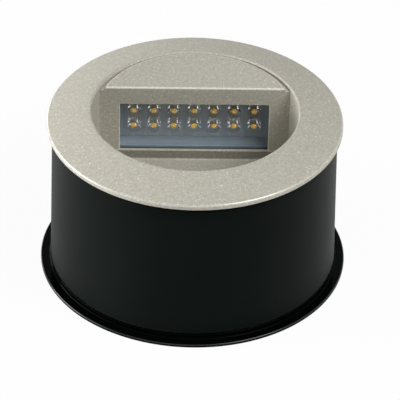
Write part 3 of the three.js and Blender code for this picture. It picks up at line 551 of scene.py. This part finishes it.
# The grommet's section: bore, neck in the flange's hole and the wider head above it
def cableGrommet():
    g = grommet
    ringPiece("cableGrommet", roundedOutline([
        (g["bore"], g["bottom"], g["boreRounding"]), (g["neck"], g["bottom"], g["neckRounding"]),
        (g["neck"], g["step"], g["stepRounding"]), (g["radius"], g["step"], g["rounding"]),
        (g["radius"], g["top"], g["rounding"]), (g["bore"], g["top"], g["boreRounding"]),
    ], 4), "blackRubber", "cable_grommet", "mounting_box", 48)


sleeve = {
    "bore": 50.8, "footRadius": 53.7, "topRadius": 53.0, "foot": 3.75, "top": 59.2, "boreFoot": 0.1,
    "footRounding": 0.35, "rounding": 0.4,
}


# The sleeve's section: foot, slightly tapered outside, rounded rim and bore
def mountingSleeve():
    s = sleeve
    ringPiece("mountingSleeve", roundedOutline([
        (s["bore"], s["foot"], s["boreFoot"]), (s["footRadius"], s["foot"], s["footRounding"]),
        (s["topRadius"], s["top"], s["rounding"]), (s["bore"], s["top"], s["rounding"]),
    ]), "satinBlack", "mounting_sleeve", "mounting_box", wideSteps)


# Rings of rectangular section: inner and outer radius, low, high, and the corners' rounding
seals = {"trimGasket": (50.9, 52.9, 59.5, 60.8, 0.3), "housingSeal": (39.2, 41.0, 31.6, 32.3, 0.3)}

baseFlange()
cableGrommet()
mountingSleeve()
ringPiece("trimGasket", rectangle(*seals["trimGasket"]), "blackRubber", "trim_gasket",
          "seal_ring")
print("mounting box and gasket made")


# Trim ring

trim = {
    "radius": 55.0, "opening": 38.4, "underside": 60.8, "edgeTop": 62.6, "domeRise": 4.3, "domePower": 1.25,
    "outerRounding": 0.9, "innerRounding": 0.7, "footRounding": 0.2, "land": 1.6, "rebate": 0.3,
    "seatInner": 49.4, "innerUnderside": 62.5, "lip": 0.9, "lipDrop": 0.25, "litDepth": 0.8,
}


# Height of the dome: the edge's top plus the rise times 1 - (share of the way out) to the dome's power
def domeHeight(radius):
    share = (radius - trim["opening"]) / (trim["radius"] - trim["opening"])
    return trim["edgeTop"] + trim["domeRise"] * (1 - share ** trim["domePower"])


# The ring's section: inner rounding, dome, outer rounding, land, rebate, seat and lip; the roundings meet
# the dome at its own slope, 92 and 73 degrees round their circles
def trimRing():
    t = trim
    innerStart, outerEnd = t["opening"] + t["innerRounding"], t["radius"] - t["outerRounding"]
    crown = np.linspace(innerStart, outerEnd, 26)[1:-1]
    landEdge, rebateTop = t["radius"] - t["land"], t["underside"] + t["rebate"]
    lipEdge, lipLow = t["opening"] + t["lip"], t["innerUnderside"] - t["lipDrop"]
    profile = np.vstack([
        [(t["opening"], lipLow)],
        roundCorner(t["opening"], domeHeight(innerStart), t["innerRounding"], 180, 92, 8),
        np.column_stack([crown, domeHeight(crown)]),
        roundCorner(t["radius"], domeHeight(outerEnd), t["outerRounding"], 73, 0, 8),
        roundCorner(t["radius"], t["underside"], t["footRounding"], 0, -90, 3),
        [(landEdge, t["underside"]), (landEdge, rebateTop), (t["seatInner"], rebateTop),
         (t["seatInner"], t["innerUnderside"]), (lipEdge, t["innerUnderside"]), (lipEdge, lipLow)],
    ])
    # the outer rounding's band gets the glossier, slightly lighter paint, partly a painted highlight
    edgedPiece("trimRing", profile, outerEnd + 0.1, domeHeight(outerEnd) - t["litDepth"],
               ["champagnePaint", "champagneRimPaintedHighlight"], "trim_ring")


trimRing()


# Housing: the pocket and chamber in one body, the straight wall with its window, and the hood

pocket = {
    "radius": 38.42, "floor": 34.3, "top": 62.24, "foot": 0.5, "chord": 14.55, "wallBack": 15.65,
    "wallHalf": 35.8, "wallFoot": 0.6, "sillTop": 38.6, "sillFront": 14.0, "sillRounding": 0.15,
    "buried": 0.3, "windowRounding": 0.3, "windowCorner": 0.4, "windowHalf": 27.9, "windowLow": 38.28,
    "windowHigh": 59.15,
}
body = {
    "bottom": 32.6, "top": 62.2, "radius": 41.2, "edge": 0.6, "flangeLow": 60.0, "flangeRadius": 49.0,
    "flangeEdge": 0.3, "flangeFillet": 0.8, "chamberHalf": 29.5, "chamberBack": 30.45, "wall": 2.4,
    "boxCorner": 44.8, "postAzimuths": (45, 135, 225, 315), "postCircle": 35.4, "postRadius": 3.2,
    "postEdge": 0.4, "postBottom": 16.1,
}


# The body by angle, each radius the distance along a ray from the axis. Outside it is the larger of the
# round wall and the clipped chamber box; inside it is the pocket's circle in front, then a line behind the
# straight wall, then the chamber's sides and back
def housingBody():
    b, p = body, pocket
    behindWall = p["wallBack"] - 0.1
    corners = [math.asin(behindWall / p["radius"]), math.atan2(behindWall, b["chamberHalf"]),
               math.atan2(b["chamberBack"], b["chamberHalf"])]
    special = np.array(corners + [math.pi - corner for corner in corners])
    angles = np.sort(np.concatenate([np.radians(np.arange(0, 360, 2.0)), special, special + 1e-4]))
    sine, cosine = np.sin(angles), np.maximum(np.abs(np.cos(angles)), 1e-6)
    behind = np.maximum(sine, 1e-6)
    halfBox, backBox = b["chamberHalf"] + b["wall"], b["chamberBack"] + b["wall"]
    box = np.minimum(np.minimum(halfBox / cosine, backBox / behind), b["boxCorner"])
    outer = np.where(sine > 0, np.maximum(b["radius"], box), b["radius"])
    chamber = np.minimum(b["chamberHalf"] / cosine, b["chamberBack"] / behind)
    line = behindWall / behind
    inner = np.where(line > p["radius"], p["radius"], np.maximum(line, chamber))
    flange = np.maximum(outer, b["flangeRadius"])

    def bent(radii, *corner):
        return [(radii + x, y) for x, y in roundCorner(0, *corner)]

    rim, fillet, foot = b["flangeEdge"], b["flangeFillet"], p["foot"]
    columns = [
        (outer * 0, b["bottom"]), (outer - 2, b["bottom"]),
        *bent(outer, b["bottom"], b["edge"], -90, 0, 3), (outer, b["flangeLow"] - fillet - 0.3),
        *bent(outer, b["flangeLow"], fillet, 180, 90, 3), (flange - 2 * rim, b["flangeLow"]),
        *bent(flange, b["flangeLow"], rim, -90, 0, 3), *bent(flange, b["top"], rim, 0, 90, 3),
        (flange - 2 * rim, b["top"]), (inner + 0.5, b["top"]), (inner, p["top"]),
        (inner, p["floor"] + foot + 0.3), *bent(inner, p["floor"], foot, 0, -90, 6),
        (inner - foot - 0.3, p["floor"]), (inner * 0.5, p["floor"]), (inner * 0, p["floor"]),
    ]
    grid = np.stack([around(radius, angles, height) for radius, height in columns], 1)
    top = b["bottom"] + 0.5
    post = turned(np.vstack([
        [(0, b["postBottom"])], roundCorner(b["postRadius"], b["postBottom"], b["postEdge"], -90, 0, 4),
        [(b["postRadius"], top), (0, top)],
    ]), 24)
    posts = [(post + polar(b["postCircle"], azimuth), roundRows, 0) for azimuth in b["postAzimuths"]]
    makePiece("housingBody", [(grid, roundRows, 0), *posts], ["champagnePaint"],
              "luminaire_housing", sharp=40)


# The straight wall: a frame round the window, and under it a sill that stands proud of the wall, whose face
# leans back towards the foot and runs into the floor by a concave fillet. The window's rounded rim has
# lighter paint, a painted highlight; the sill's leaning face has darker paint, painted shade
def windowWall():
    p = pocket
    outer = p["wallHalf"], p["sillTop"] - 1.0, p["top"] + p["buried"]
    window = p["windowHalf"], p["windowLow"], p["windowHigh"]
    wall = uprightFrame(p["chord"], p["wallBack"], outer, window, p["windowRounding"], p["windowCorner"])
    rim, plain = splitGrid(wall, rimStart, rimStart + rimSteps)
    foot, back, low = p["wallFoot"], p["chord"] + 0.5, p["floor"] - p["buried"]
    section = supported(np.vstack([
        [(back, low), (back, p["sillTop"])],
        roundCorner(p["sillFront"], p["sillTop"], p["sillRounding"], 90, 190, 4),
        roundCorner(p["chord"], p["floor"], foot, 0, -90, 6),
        [(p["chord"] - foot, low)],
    ]))
    along = np.linspace(-p["wallHalf"], p["wallHalf"], 9)
    strip = closeEnds(np.stack([np.column_stack([np.full(len(section), x), section]) for x in along]))
    y, z = section.T
    # the columns of the sill's leaning face, which get the darker paint as painted shade
    paintedShadeColumns = np.flatnonzero((y < p["chord"] + 0.1) & (z < p["sillTop"] - 0.17) & (z > p["floor"] + 0.1))
    face, top = splitGrid(strip, paintedShadeColumns[0], paintedShadeColumns[-1])
    makePiece("windowWall", [
        (plain, roundRows, 0), (rim, roundRows, 1), (top, openRows, 0), (face, openRows, 2),
    ], ["champagnePaint", "champagneEdgePaintedHighlight", "champagnePaintedShade"])


hood = {
    "bottom": 62.3, "ledgeRadius": 38.34, "ledgeTop": 65.6, "ledgeRounding": 0.35, "raisedRadius": 35.8,
    "raisedShift": 2.3, "top": 66.7, "rounding": 0.6, "steps": 6, "proud": 0.02,
}


# The hood: a ledge and the raised half disc on it, flush with the wall in front; the disc's rounded rim has
# lighter paint, a painted highlight
def hoodPlate():
    h = hood
    front = pocket["chord"] - h["proud"]
    ledge = slab(halfDisc(h["ledgeRadius"], 0, front), h["bottom"], h["ledgeTop"], h["ledgeRounding"], 0)
    raised = slab(halfDisc(h["raisedRadius"], h["raisedShift"], front - h["proud"]), h["bottom"], h["top"],
                  h["rounding"], 0, h["steps"])
    start = h["steps"] + 5  # the column where the rounded rim starts
    end = start + h["steps"]
    makePiece("hoodPlate", [
        (ledge, roundRows, 0), (raised[:, :start + 1], roundRows, 0),
        (raised[:, start:end + 1], roundRows, 1), (raised[:, end:], roundRows, 0),
    ], ["champagnePaint", "champagneEdgePaintedHighlight"], "hood", sharp=50)


housingBody()
windowWall()
hoodPlate()
print("trim, pocket and hood made")


# Behind the window: gasket, pane, spacer frame, board and diodes, each in its CAD node's box

stack = {  # node, how much wider than the window its hole is on each side, finish, slot and rounding
    "windowGasket": ("window_gasket", 0.3, "greyRubber", "grey_rubber", 0.2),
    "spacerFrame": ("spacer_frame", 0.5, "slateChamber", "slate_board", 0.25),
    "windowPane": ("window_glass", None, "clearGlass", "clear_glass", 0.2),
    "diodeBoard": ("led_board", None, "slateBoard", "slate_board", 0.1),
}
stackSizes = {"lip": 0.3, "corner": 0.7}


# Frames have the window's hole, higher by a lip at both ends; plates are pulled along z and stood up, with
# (x, y, z) turned into (x, z, y)
def windowStack():
    p, lip = pocket, stackSizes["lip"]
    for name, (node, side, finish, slot, rounding) in stack.items():
        (left, front, low), (right, back, high) = np.array(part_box(node)) / mm
        half = (right - left) / 2
        if side is None:
            outline = shrinking(-half, half, low, high, stackSizes["corner"])
            surface = slab(outline, front, back, rounding)[..., [0, 2, 1]], roundRows, 0
        else:
            hole = p["windowHalf"] + side, p["windowLow"] - lip, p["windowHigh"] + lip
            surface = uprightFrame(front, back, (half, low, high), hole, rounding), ringRows, 0
        makePiece(name, [surface], [finish], node)


# The cup and the drop of phosphor in it are sections of (radius, height); a post is (left, right, top)
diode = {
    "count": 14, "radius": 2.5, "length": 5.9, "collarRadius": 2.8, "collar": 1.0, "collarRounding": 0.2,
    "cup": ((0, 2.5), (0.7, 2.5), (0.86, 3.2), (0.74, 3.2), (0.45, 2.7), (0, 2.7)),
    "drop": ((0, 2.72), (0.64, 3.1), (0.37, 3.23), (0, 3.25)),
    "posts": ((-0.8, 0.5, 2.55), (0.75, 1.15, 2.0)), "postLow": 0.15, "postHalf": 0.2, "postCorner": 0.1,
    "postEdge": 0.05,
}


# One diode, modelled along z and turned to point along -y: resin lens with collar and dome, silver cup on its
# post, a thinner second post, and the phosphor that fills the cup
def diodePiece(number):
    d, node = diode, f"led_{number:02d}"
    low, high = np.array(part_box(node)) / mm
    middle = (low + high) / 2
    lens = np.vstack([
        [(0, 0), (d["collarRadius"] - d["collarRounding"], 0)],
        roundCorner(d["collarRadius"], d["collar"], d["collarRounding"], -20, 90, 4),
        [(d["radius"], d["collar"])],
        arcPoints(0, d["length"] - d["radius"], d["radius"], 0, 90, 14),
    ])
    half, corner, edge = d["postHalf"], d["postCorner"], d["postEdge"]
    posts = [slab(shrinking(left, right, -half, half, corner, 2), d["postLow"], top, edge, steps=2)
             for left, right, top in d["posts"]]
    shapes = [(turned(lens, 40), 0), (turned(d["cup"], 20), 1), (posts[0], 1), (posts[1], 1),
              (turned(d["drop"], 20), 2)]
    surfaces = [(np.stack([grid[..., 0] + middle[0], high[1] - grid[..., 2], grid[..., 1] + middle[2]], -1),
                 roundRows, kind) for grid, kind in shapes]
    makePiece(f"diode{number:02d}", surfaces, ["clearResin", "silverLeadFrame", "yellowPhosphor"],
              node)


windowStack()
for number in range(1, diode["count"] + 1):
    diodePiece(number)
print("window, board and diodes made")


# The rear can with its seal, the screws, the gland and the leaf springs

can = {
    "radius": 41.2, "inner": 39.0, "bottom": 13.5, "floorTop": 15.8, "top": 31.3, "holeRadius": 6.3,
    "rounding": 1.2, "innerRounding": 0.8, "rim": 0.3, "pegCircle": 25.5, "pegRadius": 2.4, "pegTop": 18.2,
    "corners": (45, 135, 225, 315),
}


# The can's section: hole, underside, rounded foot, wall, rim, inside and floor; four pegs stand on the floor
def rearCan():
    c = can
    rim, low = c["rim"], c["floorTop"] - 0.5
    profile = np.vstack([
        [(c["holeRadius"], c["bottom"])], roundCorner(c["radius"], c["bottom"], c["rounding"], -90, 0, 6),
        roundCorner(c["radius"], c["top"], rim, 0, 90, 3), roundCorner(c["inner"], c["top"], rim, 90, 180, 3),
        roundCorner(c["inner"], c["floorTop"], c["innerRounding"], 0, -90, 4),
        [(c["holeRadius"], c["floorTop"])],
    ])
    peg = turned(np.vstack([[(0, low), (c["pegRadius"], low)],
                            roundCorner(c["pegRadius"], c["pegTop"], rim, 0, 90, 3), [(0, c["pegTop"])]]), 32)
    pegs = [(peg + polar(c["pegCircle"], azimuth), roundRows, 0) for azimuth in c["corners"]]
    makePiece("rearCan", [(turned(profile), ringRows, 0), *pegs], ["satinBlack"],
              "rear_housing")


# Each kind of screw has its shank's radius, head's radius, head's height and length. "At" is the distance
# from the axis and the height of the head's underside; for the board's screws it is x, y and z
screw = {
    "slot": 0.5, "slotDepth": 0.4, "dome": 0.45, "chamfer": 0.1, "point": 0.3, "domeSteps": 6,
    "board_screw": (0.9, 1.7, 1.2, 6.0), "trim_screw": (1.25, 2.3, 1.8, 4.6),
    "rear_screw": (1.4, 2.8, 1.9, 11.0), "driver_screw": (1.1, 2.2, 1.5, 3.6),
    "spring_screw": (1.2, 2.2, 1.4, 2.9), "trimAzimuths": (-90, 20, 160), "boardAt": (26.0, 27.15, 36.25),
    "driverHeight": 20.4, "trimAt": (44.4, 59.7), "rearAt": (35.4, 13.2), "springAt": (42.3, 27.2),
}


# A slotted pan-head screw, its head's underside at zero and its shank along z. Its section is turned; at
# radius r the slot's edge lies at the angle asin(slot / 2r), and between the edges the head is cut down to
# the slot's floor
def screwGrid(shank, head, headHeight, length):
    s = screw
    slot, bevel, point = s["slot"] / 2, s["chamfer"], s["point"]
    rise = np.maximum(np.radians(np.linspace(0, 90, s["domeSteps"] + 1)), math.asin(slot / head))
    dome = np.column_stack([head * np.sin(rise), headHeight * (s["dome"] * (1 - np.cos(rise)) - 1)])
    shaft = [(head, -bevel), (head - bevel, 0), (shank, 0), (shank, length - point), (shank - point, length),
             (0, length)]
    radius, height = np.vstack([dome[:1], dome, shaft]).T
    half = np.arcsin(np.minimum(1, slot / np.maximum(radius, 1e-6)))
    lobe = np.linspace(-1, 1, 11)[:, None] * (np.pi / 2 - half)
    cut = np.pi / 2 + np.linspace(-1, 1, 5)[:, None] * half
    angles = np.vstack([lobe, cut, lobe + np.pi, cut + np.pi])
    inSlot = np.repeat([False, True, False, True], [11, 5, 11, 5])[:, None]
    heights = np.where(inSlot, np.maximum(height, headHeight * (s["slotDepth"] - 1)), height)
    radii = np.tile(radius, (len(angles), 1))
    radii[[12, 13, 14, 28, 29, 30], 0] = 0  # rows inside the slot, whose floor closes on the axis
    return around(radii, angles, heights)


# A screw at a place, its shank along an axis: x u + y v + z w, where w is the axis and u, v are square to it
def screwPiece(node, place, axis):
    axis = np.array(axis, float)
    side = np.array([0, 0, 1.0]) if abs(axis[2]) < 0.5 else np.array([1.0, 0, 0])
    grid = screwGrid(*screw[node[:-2]]) @ np.stack([side, np.cross(axis, side), axis]) + place
    makePiece(node.replace("_", "").replace("screw", "Screw"), [(grid, roundRows, 0)], ["zincSteel"],
              node, sharp=40)


# The board's two screws are mirrored, the driver's stand on two of the can's pegs, the others round the axis
def allScrews():
    s = screw
    for number, side in ((1, -1), (2, 1)):
        x, y, z = s["boardAt"]
        screwPiece(f"board_screw_{number}", np.array([side * x, y, z]), (0, -1, 0))
        peg = polar(can["pegCircle"], 135 - side * 90, s["driverHeight"])
        screwPiece(f"driver_screw_{number}", peg, (0, 0, -1))
    azimuths = {"trim": s["trimAzimuths"], "rear": can["corners"], "spring": spring["azimuths"]}
    for kind, turns in azimuths.items():
        radius, height = s[kind + "At"]
        for number, azimuth in enumerate(turns, 1):
            axis = -polar(1, azimuth) if kind == "spring" else (0, 0, 1)
            screwPiece(f"{kind}_screw_{number}", polar(radius, azimuth, height), axis)


# Grid of a profile turned round z, whose third column is the corner radius R of a regular polygon, or zero:
# such a row's radius is at most R cos(h) / cos(angle from the side's middle), with h half a side's angle
def facetted(profile, sides, shift=0.0, steps=120):
    radius, height, corner = np.array(profile, float).T
    angles = np.radians(np.arange(steps) * 360 / steps)[:, None]
    half = np.pi / sides
    share = np.cos(half) / np.cos((angles - math.radians(shift)) % (2 * half) - half)
    return around(np.where(corner > 0, np.minimum(share * corner, radius), radius), angles, height)


# Rows of a thread: the radius swings between its crest and root as the height runs from low to high
def threadRows(radius, low, high, pitch=1.0, depth=0.3):
    heights = np.linspace(low, high, 2 * round((high - low) / pitch) + 1)
    radii = radius - depth * (np.arange(len(heights)) % 2 == 0)
    return np.column_stack([radii, heights, 0 * heights]).tolist()


# Each part's section is rows of (radius, height, corner radius of its polygon, or zero where it is round)
gland = {
    "body": [(4.2, 10.9, 0), (5.3, 10.4, 0), (5.3, 6.2, 0), *threadRows(6.0, 6.2, 10.9), (8.3, 10.9, 8.8),
             (8.8, 11.3, 8.8), (8.8, 12.8, 8.8), (8.3, 13.2, 8.8), *threadRows(6.0, 13.2, 19.5),
             (4.2, 19.5, 0)],
    "nut": [(3.4, 4.2, 0), (7.4, 4.2, 8.4), (8.4, 5.2, 8.4), (8.4, 10.2, 8.4), (8.1, 10.6, 8.4),
            (6.3, 10.6, 0), (6.3, 5.3, 0), (3.4, 5.3, 0)],
    "locknut": [(6.3, 16.1, 0), (8.5, 16.1, 9.0), (9.0, 16.5, 9.0), (9.0, 17.8, 9.0), (8.5, 18.2, 9.0),
                (6.3, 18.2, 0)],
    # the seal's third column is each corner's rounding
    "seal": [(3.2, 5.6, 0.3), (5.0, 5.6, 0.3), (5.0, 10.1, 0.5), (3.2, 10.1, 0.5)],
}


# The metal parts are turned sections with a polygon's flats, the seal is a plain ring
def cableGland():
    for part, sides, shift in (("body", 6, -90), ("nut", 12, 0), ("locknut", 6, -90)):
        grid = facetted(gland[part], sides, shift)
        makePiece("gland" + part.capitalize(), [(grid, ringRows, 0)], ["nickelBrass"],
                  "gland_" + part, sharp=24)
    ringPiece("glandSeal", roundedOutline(gland["seal"], 4), "greyRubber", "gland_seal",
              steps=48)


spring = {
    "azimuths": (-90, 30, 150), "width": 9.0, "thickness": 0.5, "corner": 1.6, "edge": 0.12, "smoothing": 8,
    "top": (41.75, 29.8), "bow": ((41.75, 24.6), (46.0, 21.6), (50.25, 18.6), (46.05, 14.2)),
}


# A smooth curve through points: between two of them p(t) = (2t^3 - 3t^2 + 1) a + (t^3 - 2t^2 + t) m
# + (3t^2 - 2t^3) b + (t^3 - t^2) n, where m and n are half the steps between a point's neighbours
def throughPoints(points, steps=10):
    points = np.array(points, float)
    slope = np.gradient(points, axis=0)
    t = np.linspace(0, 1, steps, endpoint=False)[None, :, None]
    a, b, m, n = (x[:, None] for x in (points[:-1], points[1:], slope[:-1], slope[1:]))
    curve = (2 * t**3 - 3 * t**2 + 1) * a + (t**3 - 2 * t**2 + t) * m
    curve = curve + (3 * t**2 - 2 * t**3) * b + (t**3 - t**2) * n
    return np.vstack([curve.reshape(-1, 2), points[-1:]])


# A leaf spring: a rounded strip section carried along a straight run and the bow, square to them, the bend
# between them smoothed by averaging neighbours; near its ends, at a distance d from them, the strip narrows
# as sqrt(c^2 - (c - d)^2)
def leafSpring(number, azimuth):
    s, corner = spring, spring["corner"]
    path = np.vstack([[s["top"]], throughPoints(s["bow"])])
    along = np.concatenate([[0], np.cumsum(np.linalg.norm(np.diff(path, axis=0), axis=1))])
    near = corner * (1 - np.cos(np.radians(np.linspace(0, 90, 8))))
    run = np.linspace(corner, along[-1] - corner, 50)[1:-1]
    distance = np.concatenate([near, run, along[-1] - near[::-1]])
    line = np.stack([np.interp(distance, along, path[:, 0]), np.interp(distance, along, path[:, 1])], -1)
    for _ in range(s["smoothing"]):
        line[1:-1] = (line[:-2] + 2 * line[1:-1] + line[2:]) / 4
    ahead = unit(np.gradient(line, distance, axis=0))
    square = np.stack([ahead[:, 1], -ahead[:, 0]], -1)
    end = np.minimum(np.minimum(distance, along[-1] - distance), corner)
    half = s["width"] / 2 - corner + np.sqrt(corner**2 - (corner - end)**2)
    section = rectangle(-1, 1, -s["thickness"] / 2, s["thickness"] / 2, s["edge"])
    across = (section[:, 0][None] * half[:, None])[..., None]
    flat = line[:, None] + section[:, 1][None, :, None] * square[:, None]
    grid = closeEnds(np.concatenate([flat[..., :1], across, flat[..., 1:]], -1))
    cosine, sine, _ = polar(1, azimuth)
    x, y, z = np.moveaxis(grid, -1, 0)
    grid = np.stack([x * cosine - y * sine, x * sine + y * cosine, z], -1)
    makePiece(f"leafSpring{number}", [(grid, (False, True), 0)], ["springSteel"],
              f"leaf_spring_{number}", f"spring_{number}")


rearCan()
ringPiece("housingSeal", rectangle(*seals["housingSeal"]), "greyRubber", "housing_seal")
allScrews()
cableGland()
for number, azimuth in enumerate(spring["azimuths"], 1):
    leafSpring(number, azimuth)
print("rear can, screws, gland and springs made")


# CAD nodes that stay get their finishes

nodeFinishes = {
    "thermal_pad": "padGrey", "lead_red": "redSleeving", "lead_black": "blackSleeving",
    "lead_grommet": "blackRubber", "driver_board": "greenBoard", "transformer": "copperWinding",
    "smoothing_capacitor": "capacitorSleeve", "film_capacitor": "yellowCase",
    "bridge_rectifier": "greyPlastic", "terminal_block": "whitePlastic",
}
for nodeName, finish in nodeFinishes.items():
    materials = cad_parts[nodeName].data.materials
    materials.clear()
    materials.append(finishes[finish])
print("CAD nodes finished")


# Stage, light and camera

stage = {"half": 3.0, "floorHeight": -0.0001, "worldLight": 0.05, "floorLift": 0.95, "lampDistance": 1.0}
lamps = {  # azimuth, elevation, width and height, and power
    "leftLamp": (-90, 20, (0.9, 0.6), 7.1), "lowLamp": (-95, 8, (0.6, 0.24), 6.2),
    "edgeLamp": (-140, 4, (0.4, 0.12), 1.4), "rightLamp": (54, 53, (0.55, 0.55), 7.45),
    "frontLamp": (-12, 38, (0.3, 0.16), 0.35),
}
seenRays = ("Is Glossy Ray", "Is Transmission Ray", "Is Camera Ray")


# The floor: white where it is seen, directly or in a mirror, and otherwise a plain matt surface
def whiteFloor():
    material, tree, shader = newMaterial("paleFloor")
    setInputs(tree, shader, {"Base Color": (0.9, 0.9, 0.9, 1.0), "Roughness": 0.9, "Specular IOR Level": 0.0})
    glow = addNode(tree, "Emission", {"Strength": 1.0})
    lift = addMath(tree, "MULTIPLY", rayMask(tree, *seenRays), stage["floorLift"])
    mixShaders(tree, lift, shader, glow, tree.nodes["Material Output"])
    half, low = stage["half"], stage["floorHeight"]
    mesh = bpy.data.meshes.new("floor")
    corners = [(-half, -half, low), (half, -half, low), (half, half, low), (-half, half, low)]
    mesh.from_pydata(corners, [], [(0, 1, 2, 3)])
    mesh.materials.append(material)
    floor = bpy.data.objects.new("floor", mesh)
    scene.collection.objects.link(floor)


# A world that looks white where it is seen and otherwise gives a faint light
def whiteWorld():
    world = bpy.data.worlds.new("studio")
    scene.world = world
    world.use_nodes = True
    tree = world.node_tree
    tree.nodes.clear()
    light, shown = (addNode(tree, "Background", {"Color": (1, 1, 1, 1), "Strength": strength})
                    for strength in (stage["worldLight"], 1.0))
    mixShaders(tree, rayMask(tree, *seenRays), light, shown, addNode(tree, "OutputWorld"))


# An object that looks at a target from a distance, by azimuth (0 in front, positive to the right) and
# elevation; roll turns its right-hand side downwards
def placeLooking(name, data, azimuth, elevation, distance, target=(0, 0, 0), roll=0.0):
    turn = Euler((math.radians(90 - elevation), 0, math.radians(azimuth))).to_matrix()
    turn = turn @ Matrix.Rotation(math.radians(roll), 3, "Z")
    holder = bpy.data.objects.new(name, data)
    scene.collection.objects.link(holder)
    holder.matrix_world = Matrix.LocRotScale(Vector(target) + turn.col[2] * distance, turn, None)
    return holder


def softLamp(name, azimuth, elevation, size, power):
    lamp = bpy.data.lights.new(name, "AREA")
    lamp.shape = "RECTANGLE"
    lamp.size, lamp.size_y = size
    lamp.energy = power
    placeLooking(name, lamp, azimuth, elevation, stage["lampDistance"])


camera = {
    "azimuth": -1.07, "elevation": 35.87, "distance": 1.5, "target": (0.002466, -0.000380, 0.026026),
    "roll": 1.196, "lens": 359.1, "sensor": 36.0,
}


def photoCamera():
    c = camera
    data = bpy.data.cameras.new("photoCamera")
    data.lens = c["lens"]
    data.sensor_width = c["sensor"]
    data.sensor_fit = "HORIZONTAL"
    data.clip_end = 20
    scene.camera = placeLooking("photoCamera", data, c["azimuth"], c["elevation"], c["distance"], c["target"],
                                c["roll"])


whiteFloor()
whiteWorld()
for lampName, values in lamps.items():
    softLamp(lampName, *values)
photoCamera()
scene.view_settings.view_transform = "Standard"
print("stage, lamps and camera ready")
